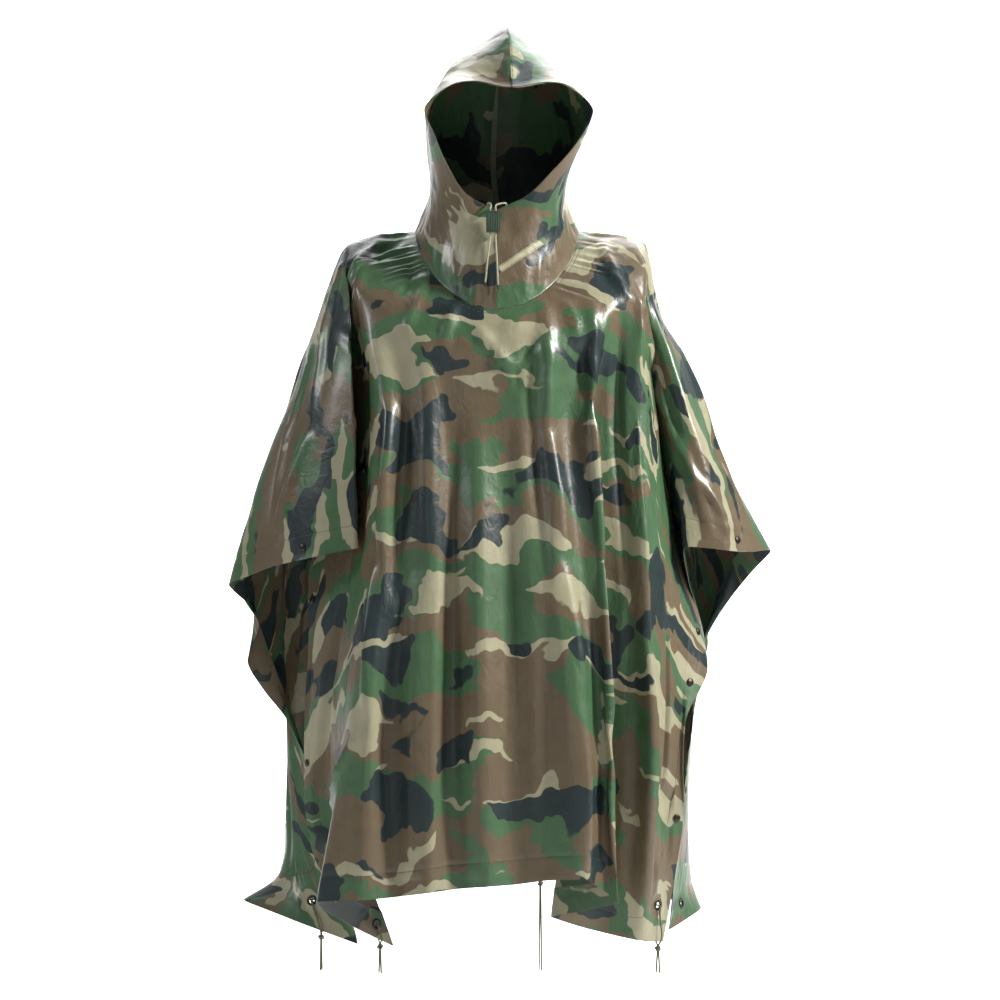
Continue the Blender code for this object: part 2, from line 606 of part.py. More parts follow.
def stud(name, piece, spot, finish):
    """The domed cap of a press stud on the outside of the hem, with its shank."""
    place, normal, outside, inside, edge = spot
    foot = seat_height(piece, place, normal, SHANK_RADIUS) + GAP
    base = max(seat_height(piece, place, normal, STUD_RADIUS) + GAP, foot + SHANK_LEAST)
    profile = [(0, foot), (SHANK_RADIUS, foot), (SHANK_RADIUS, base), (STUD_RADIUS, base),
               (STUD_RADIUS, base + 0.5 * STUD_HEIGHT),
               (0.6 * STUD_RADIUS, base + STUD_HEIGHT), (0, base + STUD_HEIGHT)]
    return turned_piece(name, profile, place, normal, finish)


def tie(name, spot, tip_height, cord_finish):
    """A tie cord through an eyelet: two free ends held together by a knot under the hem."""
    place, normal, outside, inside, edge = spot
    level = np.array([normal[0], normal[1], 0.0])
    level /= np.linalg.norm(level)
    down = np.array([0, 0, -1.0])
    knot = place + edge + down * KNOT_BELOW_HEM
    along = edge / np.linalg.norm(edge)
    beside = TIE / 2 + GAP / 2
    for end, sign, wall_half in (("outer", 1, outside), ("inner", -1, inside)):
        out = sign * normal
        rim = wall_half + GAP + EYELET_FLANGE_WALL
        reach = rim + TIE / 2 + 2 * GAP
        route = [place + out * GAP / 2,
                 place + out * rim,
                 place + out * (reach + 0.6 * MM) + along * 1.8 * MM,
                 place + out * (reach + 0.3 * MM) + along * 6 * MM,
                 place + out * reach + along * EYELET_FLANGE,
                 place + out * reach + edge,
                 knot + sign * level * beside - down * 0.7 * KNOT_HEIGHT,
                 knot + sign * level * beside + down * 0.7 * KNOT_HEIGHT]
        length = route[-1][2] - tip_height
        for share in (0.5, 1.0):
            spread = sign * level * (beside + TIE_SPREAD * share)
            route.append(knot + spread + down * (0.7 * KNOT_HEIGHT + length * share))
        cord(f"tie_{name}_{end}", route, TIE, cord_finish)
    profile = [(KNOT_HOLE, -0.3 * KNOT_HEIGHT), (0.8 * KNOT_RADIUS, -0.5 * KNOT_HEIGHT),
               (KNOT_RADIUS, 0), (0.8 * KNOT_RADIUS, 0.5 * KNOT_HEIGHT),
               (KNOT_HOLE, 0.3 * KNOT_HEIGHT)]
    turned_piece(f"knot_{name}", profile, knot, (0, 0, 1), cord_finish)


# ---------------------------------------------------------------- hood

def hood_posture(points):
    """Turn and lean the hood above the collar."""
    rise = np.clip(points[..., 2] / HOOD_POSTURE_HEIGHT, 0, 1)
    rise = rise * rise * (3 - 2 * rise)
    turned = points.copy()
    cosine, sine = np.cos(HOOD_TURN * rise), np.sin(HOOD_TURN * rise)
    turned[..., 0] = points[..., 0] * cosine - points[..., 1] * sine
    turned[..., 0] += points[..., 2] * math.tan(HOOD_LEAN) * rise
    turned[..., 1] = points[..., 0] * sine + points[..., 1] * cosine
    return turned


def hood_net():
    lines = []
    for line in HOOD_LINES:
        seam = neck_place(line.turn) - neck_frame(line.turn)[1] * GAP / 2
        places = [np.array(place) * MM for place in line[2:]]
        lines.append([seam, *places])
    return ClothNet([line.name for line in HOOD_LINES], [line.turn for line in HOOD_LINES],
                    lines, HOOD_CORNERS, -1, CASING_WIDTH)


def flatten_at_middle(grid, normals):
    """Keep one half clear of the other along the middle, with its edge square to it."""
    if abs(grid[-1, -2, 0]) < 1e-9:
        normals[-1, -1] = normals[-2, -1] + normals[-1, -2]
    middle = grid[..., 0] < GAP / 2 + 1e-9
    grid[..., 0] = np.maximum(grid[..., 0], GAP / 2)
    normals[middle, 0] = 0
    normals /= np.linalg.norm(normals, axis=2, keepdims=True)


def hood(net, finish, casing_finish):
    """Both halves of the hood, and inside each the turned-in channel round the face opening.
    Returns the inner grids along the centre seam for the tape."""
    rows = list(np.linspace(0, 1, HOOD_ROWS)) + [("end", 0.0)]
    inner_edges = []
    for side, sign in (("left", 1), ("right", -1)):
        turns = hood_turns(sign)
        columns = np.interp(turns, net.turns, range(len(net.turns)))
        grid, normals = net.surface(columns, rows)
        flatten_at_middle(grid, normals)
        grid[..., 0] *= sign
        normals[..., 0] *= sign
        for i, turn in enumerate(turns):
            grid[i, 0], normals[i, 0] = neck_seam(sign * turn, -GAP / 2)
        for i in (0, -1):
            grid[i, 0, 0] = sign * GAP / 2
        outer, inner = grid + normals * CLOTH / 2, grid - normals * CLOTH / 2
        wall(f"hood_{side}", hood_posture(outer), hood_posture(inner), finish)
        brim = turns.index(net.turns[net.names.index("brim_middle")])
        channel = slice(2, brim), slice(-2, None)
        near = CLOTH / 2 + GAP
        wall(f"casing_{side}", hood_posture(grid[channel] - normals[channel] * near),
             hood_posture(grid[channel] - normals[channel] * (near + CASING_WALL)), casing_finish)
        inner_edges.append((grid, normals, brim))
    return inner_edges


def seam_tape(inner_edges, finish):
    """The tape inside the centre seam, from behind the casing over the top and down the nape."""
    rails, ways = [], []
    for grid, normals, brim in inner_edges:
        seam = np.concatenate([grid[brim:, -1], grid[-1, -2:0:-1]])
        beside = np.concatenate([grid[brim:, -2], grid[-2, -2:0:-1]])
        way = np.concatenate([normals[brim:, -1], normals[-1, -2:0:-1]])
        toward = beside - seam
        toward *= TAPE_HALF_WIDTH / np.linalg.norm(toward, axis=1, keepdims=True)
        rails.append(seam + toward)
        ways.append(way)
    grid = np.array([rails[1], (rails[0] + rails[1]) / 2, rails[0]])
    normals = np.array([ways[1], (ways[0] + ways[1]) / 2, ways[0]])
    normals[..., 0] = 0
    normals /= np.linalg.norm(normals, axis=2, keepdims=True)
    near = CLOTH / 2 + GAP
    wall("hood_seam_tape", hood_posture(grid - normals * near),
         hood_posture(grid - normals * (near + TAPE_WALL)), finish)


def cord_lock_and_drawcord(lock_finish, cord_finish):
    """The lock hangs at the throat on the drawcord's two ends."""
    bm = bmesh.new()
    size = Matrix.Diagonal((LOCK_WIDTH, LOCK_DEPTH, LOCK_HEIGHT, 1.0))
    bmesh.ops.create_cube(bm, size=1.0, matrix=Matrix.Translation(LOCK_PLACE) @ size)
    bmesh.ops.bevel(bm, geom=bm.edges[:], offset=LOCK_EDGE, segments=2, affect="EDGES",
                    profile=0.5)
    mesh = bpy.data.meshes.new("cord_lock")
    bm.to_mesh(mesh)
    bm.free()
    mesh.materials.append(lock_finish)
    lock = bpy.data.objects.new("cord_lock", mesh)
    bpy.context.scene.collection.objects.link(lock)
    for end, sign in (("right", -1), ("left", 1)):
        hole = np.array(LOCK_PLACE) + np.array([sign * LOCK_HOLE_APART / 2, 0, 0])
        cut_round_hole(lock, hole, (0, 0, 1), DRAWCORD / 2 + GAP, 2 * LOCK_HEIGHT)
        tip = DRAWCORD_TIPS[end]
        x, y, z = hole
        route = [(sign * 15 * MM, -125.5 * MM, -3 * MM),
                 (sign * 14.5 * MM, -123.6 * MM, 4 * MM),
                 (sign * 14.2 * MM, -123.4 * MM, 7.5 * MM),
                 (sign * 13.6 * MM, -125.8 * MM, 9.4 * MM),
                 (sign * 12 * MM, -128.8 * MM, 9.4 * MM),
                 (0.5 * x + sign * 5 * MM, -134 * MM, 8 * MM),
                 (0.9 * x, -140.5 * MM, 4 * MM),
                 (x, y, z + LOCK_HEIGHT / 2 + 3 * MM),
                 (x, y, z + LOCK_HEIGHT / 2),
                 (x, y, z - LOCK_HEIGHT / 2),
                 (x, y, z - LOCK_HEIGHT / 2 - 3 * MM),
                 (0.6 * x + 0.4 * tip[0], 0.6 * y + 0.4 * tip[1] - 1 * MM, 0.5 * (z + tip[2])),
                 tip]
        cord(f"drawcord_{end}", route, DRAWCORD, cord_finish)


# ---------------------------------------------------------------- the poncho

def main():
    for old in list(bpy.data.objects):
        bpy.data.objects.remove(old, do_unlink=True)

    cloth = material("camouflage_ripstop", (0.16, 0.17, 0.11), 0.42)
    lining_side = material("coated_inside", (0.10, 0.11, 0.08), 0.35)
    metal = material("blackened_brass", (0.05, 0.05, 0.04), 0.4, 0.9)
    olive_cord = material("olive_cord", (0.14, 0.15, 0.09), 0.8)
    plastic = material("green_plastic", (0.03, 0.06, 0.04), 0.45)

    panels = {}
    for name, folds, corners, side in (("front_panel", FRONT_FOLDS, FRONT_CORNERS, -1),
                                       ("back_panel", BACK_FOLDS, BACK_CORNERS, 1)):
        panels[name] = panel(name, folds, corners, side, cloth)

    inner_edges = hood(hood_net(), cloth, lining_side)
    seam_tape(inner_edges, lining_side)
    cord_lock_and_drawcord(plastic, olive_cord)

    for name, panel_name, fold_name, offset, tip_height in EYELETS:
        piece, panel_folds, outer, inner = panels[panel_name]
        spot = hem_spot(panel_folds, outer, inner, fold_name, offset)
        eyelet(f"eyelet_{name}", piece, spot, metal)
        if tip_height:
            tie(name, spot, tip_height * MM, olive_cord)
    for name, panel_name, fold_name, offset in STUDS:
        piece, panel_folds, outer, inner = panels[panel_name]
        spot = hem_spot(panel_folds, outer, inner, fold_name, offset)
        stud(f"stud_{name}", piece, spot, metal)


main()
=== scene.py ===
# %% [markdown]
# # A rain poncho that hangs as it is worn
# The poncho is one coated rectangle with a neck hole and a hood. It is shown filled out by a body
# that isn't there, so the cloth hangs in long folds and stays open and hollow. We load the packed
# model as a fixed frame, and dress each of its solids in finer cloth, thread, metal and cord.

# %% Load the frame
import math
from collections import namedtuple

import bpy
import numpy as np
from mathutils import Matrix, Vector, noise


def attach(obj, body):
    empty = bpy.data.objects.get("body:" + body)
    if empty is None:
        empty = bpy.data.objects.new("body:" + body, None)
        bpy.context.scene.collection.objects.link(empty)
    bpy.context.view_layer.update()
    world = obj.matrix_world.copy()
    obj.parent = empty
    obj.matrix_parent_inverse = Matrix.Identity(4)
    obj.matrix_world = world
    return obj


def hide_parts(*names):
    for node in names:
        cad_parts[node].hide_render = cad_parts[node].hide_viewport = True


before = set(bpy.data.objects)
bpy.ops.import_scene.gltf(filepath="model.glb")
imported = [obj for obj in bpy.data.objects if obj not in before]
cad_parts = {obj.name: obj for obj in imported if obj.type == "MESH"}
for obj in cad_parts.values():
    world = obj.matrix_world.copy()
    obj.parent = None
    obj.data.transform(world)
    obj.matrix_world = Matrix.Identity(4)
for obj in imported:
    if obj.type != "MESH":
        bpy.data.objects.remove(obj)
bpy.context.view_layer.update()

MM = 0.001

# %% [markdown]
# ## Camera, floor and light
# The camera stands level with the middle of the poncho, with a long lens, as for a catalogue
# picture. A pale floor curves up into a backdrop, so that no horizon line shows. Coated cloth
# shows its folds through reflections, so one strong soft light stands to the right and above, and
# weaker ones fill the left side.

# %% Camera
bpy.ops.object.camera_add(location=(0.00465, -4.3, -0.437), rotation=(math.pi / 2, 0, 0))
camera = bpy.context.object
camera.name = "camera"
camera.data.lens = 99.87
camera.data.sensor_width = 36
bpy.context.scene.camera = camera
bpy.context.scene.view_settings.view_transform = "Standard"
print("lens", camera.data.lens)


# %% Floor with a curved backdrop
def make_backdrop():
    """A floor 1.45 m below the origin, swept up behind the poncho in one soft curve."""
    floor, back, rise, radius = -1.45, 7.0, 5.0, 1.6
    profile = [(-9.0, floor)]
    for step in range(13):
        angle = math.radians(90 * step / 12)
        profile.append((back - radius + radius * math.sin(angle),
                        floor + radius - radius * math.cos(angle)))
    profile.append((back, rise))
    bpy.ops.mesh.primitive_plane_add(size=1)
    backdrop = bpy.context.object
    backdrop.name = "backdrop"
    vertices = [(x, y, z) for x in (-9.0, 9.0) for y, z in profile]
    count = len(profile)
    faces = [(k, count + k, count + k + 1, k + 1) for k in range(count - 1)]
    backdrop.data.clear_geometry()
    backdrop.data.from_pydata(vertices, [], faces)
    backdrop.data.shade_smooth()
    paper = bpy.data.materials.new("pale_paper")
    paper.use_nodes = True
    shader = paper.node_tree.nodes["Principled BSDF"]
    shader.inputs["Base Color"].default_value = (0.93, 0.93, 0.925, 1)
    shader.inputs["Roughness"].default_value = 0.9
    backdrop.data.materials.append(paper)
    return backdrop


make_backdrop()


# %% Lights
def soft_light(name, place, aim, size, power, colour=(1, 1, 1)):
    """A square soft box that looks at a point."""
    bpy.ops.object.light_add(type="AREA", location=place)
    lamp = bpy.context.object
    lamp.name = name
    lamp.data.size = size
    lamp.data.energy = power
    lamp.data.color = colour
    aim_way = Vector(aim) - Vector(place)
    lamp.rotation_euler = aim_way.to_track_quat("-Z", "Y").to_euler()
    return lamp


soft_light("key", (3.1, -1.25, 1.8), (0, 0, -0.45), 0.5, 290, (1.0, 0.98, 0.93))
soft_light("streak", (-2.7, -0.9, 1.0), (0, 0, -0.5), 0.6, 34, (0.97, 0.99, 1.0))
soft_light("fill", (-1.2, -4.2, 0.2), (0, 0, -0.6), 1.6, 8, (0.95, 0.98, 1.0))
soft_light("behind", (1.6, 2.0, 1.9), (0, 0, -0.3), 1.2, 20)
soft_light("sweep", (0, 4.6, 3.4), (0, 7.0, -0.6), 4.0, 620)
soft_light("floor", (0, 2.4, 2.6), (0, 3.2, -1.45), 3.0, 120)
world = bpy.data.worlds.new("studio")
world.use_nodes = True
nodes, links = world.node_tree.nodes, world.node_tree.links
soft = nodes["Background"]
soft.inputs["Color"].default_value = (0.95, 0.97, 1.0, 1)
soft.inputs["Strength"].default_value = 0.13
seen = nodes.new("ShaderNodeBackground")
seen.inputs["Color"].default_value = (0.97, 0.97, 0.97, 1)
choose = nodes.new("ShaderNodeMixShader")
links.new(nodes.new("ShaderNodeLightPath").outputs["Is Camera Ray"], choose.inputs[0])
links.new(soft.outputs[0], choose.inputs[1])
links.new(seen.outputs[0], choose.inputs[2])
links.new(choose.outputs[0], nodes["World Output"].inputs["Surface"])
bpy.context.scene.world = world

# %% [markdown]
# ## The cloth as a net of folds
# A garment pattern is cut flat, but what we see is how it falls. Each fold, edge and seam is one
# row of a table: its bearing round the neck, and where it passes chest, waist, thigh and hem, in
# millimetres. A smooth surface goes through all the lines. The same tables shape the packed
# solids, so the fine cloth follows them.

# %% Sizes of the garment
GAP = 0.3 * MM
CAD_CLOTH = 1.2 * MM
CLOTH = 0.7 * MM
HEM_BAND, HEM_STEP = 36 * MM, 9 * MM
CASING_WIDTH = 22 * MM
NECK_HALF_WIDTH, NECK_FRONT, NECK_BACK = 127 * MM, 150 * MM, 105 * MM
NECK_SIDE_HEIGHT, NECK_FRONT_DROP, NECK_BACK_RISE = -20 * MM, 132 * MM, 18 * MM
SHOULDER_HALF_WIDTH, SHOULDER_FRONT, SHOULDER_BACK = 232 * MM, 165 * MM, 118 * MM
SHOULDER_HEIGHT, SHOULDER_FRONT_DROP, SHOULDER_BACK_DROP = -42 * MM, 148 * MM, 62 * MM
CHEST, WAIST, THIGH = 0.15, 0.40, 0.72
PANEL_ROWS, PANEL_ROW_SPREAD = 14, 1.2
CORNER_START, LEAST_SQUARE, CREASE, EASE_FROM = 0.75, 0.4, 0.6, 3
print("cloth wall", CLOTH, "hem", HEM_BAND)

# %% Folds of the front, from the wearer's right arm to the left arm
Fold = namedtuple("Fold", "name turn x_chest x_waist x_thigh x_end y_chest y_waist y_thigh y_end z_end")
FRONT_FOLDS = [Fold(*row) for row in (
    ("right_arm", -90, -267, -310, -374, -415, 0, 0, 0, 0, -569),
    ("right_sleeve_outer", -86, -251, -279, -322, -348, -45, -65, -80, -85, -540),
    ("right_sleeve_inner", -82, -236, -246, -263, -276, -80, -110, -128, -132, -523),
    ("right_sleeve_fold", -77, -224, -218, -211, -208, -98, -128, -150, -155, -509),
    ("right_armpit", -73, -222, -240, -262, -288, -56, -40, -34, -28, -548),
    ("right_edge_high", -69, -212, -236, -266, -289, -62, -46, -46, -50, -667),
    ("right_edge_middle", -65, -203, -228, -275, -295, -80, -70, -60, -62, -842),
    ("right_edge_low", -61, -196, -218, -262, -271, -104, -98, -98, -95, -990),
    ("right_corner", -57, -190, -204, -240, -158, -130, -134, -138, -118, -1109),
    ("right_tuck", -54, -184, -194, -232, -227, -146, -157, -166, -160, -1067),
    ("right_front_fold", -50, -178, -184, -222, -267, -155, -173, -198, -205, -1032),
    ("right_ridge", -45, -165, -165, -187, -194, -162, -196, -238, -252, -1021),
    ("right_trough", -36, -136, -136, -145, -146, -160, -190, -220, -232, -1019),
    ("middle_ridge_a", -27, -103, -96, -98, -100, -170, -208, -246, -258, -1010),
    ("middle_trough_a", -18, -70, -62, -60, -57, -168, -200, -228, -236, -1007),
    ("middle_ridge_b", -9, -33, -25, -19, -16, -172, -212, -248, -258, -1001),
    ("middle_trough_b", 0, 12, 19, 25, 25, -172, -204, -234, -240, -1000),
    ("left_ridge", 18, 73, 87, 124, 133, -176, -216, -254, -266, -991),
    ("left_trough", 30, 112, 126, 149, 158, -152, -188, -226, -238, -1010),
    ("pleat_edge", 38, 142, 156, 166, 177, -154, -192, -234, -246, -1024),
    ("pleat_inside", 42, 140, 136, 112, 82, -118, -138, -158, -165, -1059),
    ("left_panel_inner", 47, 165, 173, 172, 154, -112, -135, -150, -150, -1083),
    ("left_panel_ridge", 53, 189, 214, 228, 215, -112, -145, -168, -158, -1095),
    ("left_corner", 58, 219, 240, 252, 251, -120, -136, -146, -125, -1102),
    ("left_edge_low", 62, 223, 245, 275, 281, -99, -107, -115, -118, -919),
    ("left_edge_middle", 67, 226, 246, 276, 289, -82, -84, -87, -105, -758),
    ("left_edge_bulge", 71, 227, 246, 277, 322, -66, -61, -63, -65, -700),
    ("left_armpit", 75, 226, 242, 272, 313, -50, -38, -28, -20, -619),
    ("left_sleeve_fold", 80, 232, 250, 272, 286, -46, -62, -80, -100, -508),
    ("left_sleeve_inner", 85, 238, 270, 315, 354, -36, -66, -86, -92, -514),
    ("left_arm", 90, 240, 296, 352, 425, 0, 0, 0, 0, -516),
)]
print("front folds", len(FRONT_FOLDS))

# %% Folds of the back, from the wearer's right arm round to the left arm
BACK_FOLDS = [Fold(*row) for row in (
    ("right_arm", -90, -267, -310, -374, -415, 0, 0, 0, 0, -569),
    ("right_sleeve_a", -95, -267, -319, -383, -374, 25, 37, 46, 38, -632),
    ("right_sleeve_b", -100, -266, -319, -379, -392, 44, 62, 78, 55, -689),
    ("right_sleeve_c", -106, -266, -321, -375, -330, 62, 85, 104, 40, -779),
    ("right_lap_edge", -109, -267, -327, -356, -280, 75, 100, 113, 5, -885),
    ("right_lap_low", -112, -268, -333, -353, -243, 85, 112, 97, -25, -1003),
    ("right_lap_corner", -115, -266, -334, -348, -214, 93, 120, 71, -50, -1117),
    ("right_side", -120, -256, -320, -351, -396, 102, 126, 103, 30, -1060),
    ("right_side_trough", -126, -234, -278, -322, -339, 110, 142, 148, 135, -1076),
    ("right_back_ridge", -132, -213, -242, -298, -318, 118, 167, 200, 215, -1088),
    ("right_back_trough", -138, -189, -204, -254, -262, 114, 160, 185, 190, -1084),
    ("blade_ridge_right", -145, -163, -173, -207, -217, 120, 178, 222, 245, -1081),
    ("blade_trough_right", -152, -131, -137, -157, -161, 122, 168, 198, 212, -1071),
    ("spine_ridge_right", -160, -99, -100, -113, -119, 126, 182, 232, 262, -1068),
    ("spine_trough_right", -168, -59, -60, -67, -69, 124, 170, 205, 222, -1056),
    ("spine_ridge", -176, -19, -20, -20, -20, 126, 184, 236, 268, -1056),
    ("spine_trough_left", -184, 17, 24, 27, 31, 125, 172, 207, 224, -1050),
    ("spine_ridge_left", -192, 60, 69, 77, 84, 126, 182, 234, 264, -1059),
    ("blade_trough_left", -200, 97, 111, 126, 135, 122, 168, 200, 216, -1059),
    ("blade_ridge_left", -208, 135, 153, 178, 193, 120, 176, 224, 250, -1073),
    ("left_back_trough", -215, 167, 189, 223, 240, 112, 158, 185, 195, -1075),
    ("left_back_ridge", -222, 195, 232, 268, 287, 113, 158, 192, 202, -1086),
    ("left_side_trough", -229, 214, 252, 285, 302, 109, 141, 146, 135, -1083),
    ("left_side", -234, 239, 293, 308, 318, 107, 125, 95, 30, -1074),
    ("left_lap_corner", -239, 246, 306, 309, 261, 99, 117, 72, -92, -1089),
    ("left_lap_low", -243, 247, 308, 310, 274, 91, 110, 80, -60, -1000),
    ("left_lap_edge", -247, 246, 306, 314, 288, 81, 101, 95, -28, -899),
    ("left_sleeve_d", -251, 245, 303, 331, 304, 68, 89, 108, 20, -790),
    ("left_sleeve_c", -256, 245, 296, 361, 316, 51, 70, 83, 54, -680),
    ("left_sleeve_a", -266, 248, 292, 368, 375, 20, 29, 37, 50, -579),
    ("left_arm", -270, 240, 296, 352, 425, 0, 0, 0, 0, -516),
)]
print("back folds", len(BACK_FOLDS))

# %% Lines of one hood half, from the neck seam up to the face edge or the centre seam
HoodLine = namedtuple("HoodLine", "name turn low neck temple crown end")
HOOD_LINES = [HoodLine(*row) for row in (
    ("throat", 0, (0, -147, -120), (0, -142, -85), (0, -136, -50), (0, -130, -22), (0, -125, 0)),
    ("chin", 18, (40, -140, -105), (38, -136, -72), (37, -131, -35), (38, -128, -5), (45, -128, 22)),
    ("jaw", 38, (76, -118, -85), (73, -114, -45), (73, -116, 0), (76, -122, 34), (80, -131, 62)),
    ("cheek", 58, (102, -82, -50), (96, -82, -8), (97, -95, 42), (103, -116, 78), (110, -136, 108)),
    ("widest", 76, (114, -42, -20), (104, -46, 25), (108, -65, 80), (120, -103, 122), (127, -141, 150)),
    ("brow", 90, (115, -8, 2), (104, -12, 45), (115, -30, 108), (120, -85, 160), (103, -150, 175)),
    ("brim", 108, (110, 25, 12), (102, 22, 60), (114, 5, 125), (105, -65, 192), (55, -160, 195)),
    ("brim_middle", 126, (99, 54, 20), (93, 52, 72), (108, 38, 135), (92, -45, 215), (0, -166, 198)),
    ("forehead", 138, (82, 74, 24), (80, 78, 80), (97, 66, 145), (80, -15, 232), (0, -115, 243)),
    ("top_front", 150, (60, 92, 24), (60, 98, 85), (78, 90, 150), (66, 30, 240), (0, -60, 280)),
    ("top", 160, (40, 101, 22), (40, 110, 85), (54, 108, 148), (52, 68, 228), (0, 0, 296)),
    ("top_back", 170, (20, 105, 18), (20, 118, 75), (28, 122, 135), (32, 98, 208), (0, 60, 275)),
    ("nape", 180, (0, 107, 14), (0, 120, 62), (0, 128, 118), (0, 125, 170), (0, 105, 222)),
)]
HOOD_TURN, HOOD_LEAN, HOOD_POSTURE_HEIGHT = math.radians(5), math.radians(2.3), 120 * MM
FRONT_CORNERS, BACK_CORNERS = ("right_corner", "left_corner"), ("right_lap_corner", "left_lap_corner")
EASED = {
    "front_panel": (("left_panel_ridge", "left_armpit", 8),),
    "back_panel": (("right_arm", "right_side_trough", 7), ("left_side_trough", "left_arm", 3)),
}
print("hood lines", len(HOOD_LINES))


# %% Smooth curves through places
def smooth_step(t):
    """From 0 to 1 with a soft start and a soft stop."""
    return t * t * (3 - 2 * t)


def arc_knots(points):
    """Distance along a row of points, from its first point."""
    return np.concatenate([[0.0], np.cumsum(np.linalg.norm(np.diff(points, axis=0), axis=1))])


def tangents(knots, values, crease):
    """Slopes of a smooth curve, less where it turns back, so that a fold there stays crisp."""
    step = np.diff(knots)
    chord = np.diff(values, axis=0) / step[:, None]
    slope = np.empty_like(values)
    slope[0], slope[-1] = chord[0], chord[-1]
    before, after = step[:-1, None], step[1:, None]
    slope[1:-1] = (after * chord[:-1] + before * chord[1:]) / (before + after)
    turning = (chord[:-1] * chord[1:]).sum(axis=1)
    turning /= np.linalg.norm(chord[:-1], axis=1) * np.linalg.norm(chord[1:], axis=1) + 1e-12
    slope[1:-1] *= np.clip((1 + turning) / 2, 0, 1)[:, None] ** crease
    return chord, slope


def smooth_curve(knots, values, where, broken=(), sharpness=0.0, crease=CREASE):
    """Points at `where` on the curve; at the knots listed in `broken` it may turn a corner."""
    chord, slope = tangents(knots, values, crease)
    leaving, arriving = slope.copy(), slope.copy()
    for knot in broken:
        leaving[knot] = (1 - sharpness) * slope[knot] + sharpness * chord[knot]
        arriving[knot] = (1 - sharpness) * slope[knot] + sharpness * chord[knot - 1]
    index = np.clip(np.searchsorted(knots, where, side="right") - 1, 0, len(knots) - 2)
    step = (knots[index + 1] - knots[index])[:, None]
    t = (np.asarray(where)[:, None] - knots[index][:, None]) / step
    end_share = 3 * t ** 2 - 2 * t ** 3
    return ((1 - end_share) * values[index] + end_share * values[index + 1]
            + step * ((t ** 3 - 2 * t ** 2 + t) * leaving[index]
                      + (t ** 3 - t ** 2) * arriving[index + 1]))


def grid_normals(grid, closed=False):
    """Normal at each point of a grid, the even mean of the faces round it."""
    ring = np.concatenate([grid[-1:], grid, grid[:1]]) if closed else grid
    faces = np.cross(ring[1:, 1:] - ring[:-1, :-1], ring[1:, :-1] - ring[:-1, 1:])
    faces /= np.linalg.norm(faces, axis=2, keepdims=True) + 1e-12
    normals = np.zeros_like(ring)
    for i in (0, 1):
        for j in (0, 1):
            normals[i:len(ring) - 1 + i, j:ring.shape[1] - 1 + j] += faces
    normals /= np.linalg.norm(normals, axis=2, keepdims=True) + 1e-12
    return normals[1:-1] if closed else normals


print("curves ready")


# %% The net of lines
class ClothNet:
    """A cloth surface through lines of places: one line for each fold, seam or edge."""

    def __init__(self, names, turns, lines, corners, facing, band):
        self.names, self.turns = list(names), list(turns)
        self.lines = [np.array(line, float) for line in lines]
        self.corners = [self.names.index(name) for name in corners]
        self.facing, self.band = facing, band
        self.lengths = np.array([arc_knots(line)[-1] for line in self.lines])
        ends = np.array([line[-1] for line in self.lines])
        edge = np.gradient(ends, axis=0)
        arriving = ends - np.array([line[-2] for line in self.lines])
        size = np.linalg.norm(edge, axis=1) * np.linalg.norm(arriving, axis=1)
        square = np.linalg.norm(np.cross(edge, arriving), axis=1) / size
        self.oblique = 1 / np.maximum(square, LEAST_SQUARE)

    def surface(self, columns, rows):
        """Grid of points and outward normals at line numbers and shares of the lines."""
        shares = []
        for row in rows:
            if isinstance(row, tuple):
                shares.append(1 - row[1] * self.oblique / self.lengths)
            else:
                shares.append(row * (1 - self.band * self.oblique / self.lengths))
        shares = np.array(shares)
        lines = []
        for k, line in enumerate(self.lines):
            knots = arc_knots(line)
            lines.append(smooth_curve(knots, line, shares[:, k] * knots[-1]))
        lines = np.array(lines)
        grid = np.empty((len(columns), len(rows), 3))
        for j, share in enumerate(shares):
            knots = arc_knots(lines[:, j])
            where = np.interp(columns, range(len(knots)), knots)
            sharpness = min(max((share.min() - CORNER_START) / (1 - CORNER_START), 0.0), 1.0)
            grid[:, j] = smooth_curve(knots, lines[:, j], where, self.corners, sharpness)
        return grid, grid_normals(grid) * self.facing


def neck_place(turn):
    """Point of the neck seam, `turn` degrees round from the middle of the front."""
    side, front = math.sin(math.radians(turn)), math.cos(math.radians(turn))
    if front > 0:
        depth, height = -NECK_FRONT * front, NECK_SIDE_HEIGHT - NECK_FRONT_DROP * front ** 1.3
    else:
        depth, height = -NECK_BACK * front, NECK_SIDE_HEIGHT + NECK_BACK_RISE * (-front) ** 1.3
    return np.array([NECK_HALF_WIDTH * side, depth, height])


def neck_frame(turn):
    """Outward normal of the cloth at the neck seam, and the way down across the seam."""
    along = neck_place(turn + 1) - neck_place(turn - 1)
    side, front = math.sin(math.radians(turn)), math.cos(math.radians(turn))
    outward = np.array([side, -front, 0.45 + 0.55 * abs(side)])
    outward -= along * outward.dot(along) / along.dot(along)
    outward /= np.linalg.norm(outward)
    down = np.cross(along, outward)
    return outward, down / np.linalg.norm(down)


NECK_STOPS = sorted({fold.turn % 360 for fold in FRONT_FOLDS + BACK_FOLDS} | {180, 360})


def neck_seam(turn, below):
    """Point and normal on the seam's straight stitches between the folds' stops."""
    bearing = turn % 360
    after = next(k for k, stop in enumerate(NECK_STOPS) if stop >= bearing)
    ends = NECK_STOPS[max(after - 1, 0)], NECK_STOPS[after]
    share = (bearing - ends[0]) / max(ends[1] - ends[0], 1e-9)
    (out_a, down_a), (out_b, down_b) = neck_frame(ends[0]), neck_frame(ends[1])
    place_a, place_b = neck_place(ends[0]) + down_a * below, neck_place(ends[1]) + down_b * below
    outward = out_a * (1 - share) + out_b * share
    return place_a * (1 - share) + place_b * share, outward / np.linalg.norm(outward)


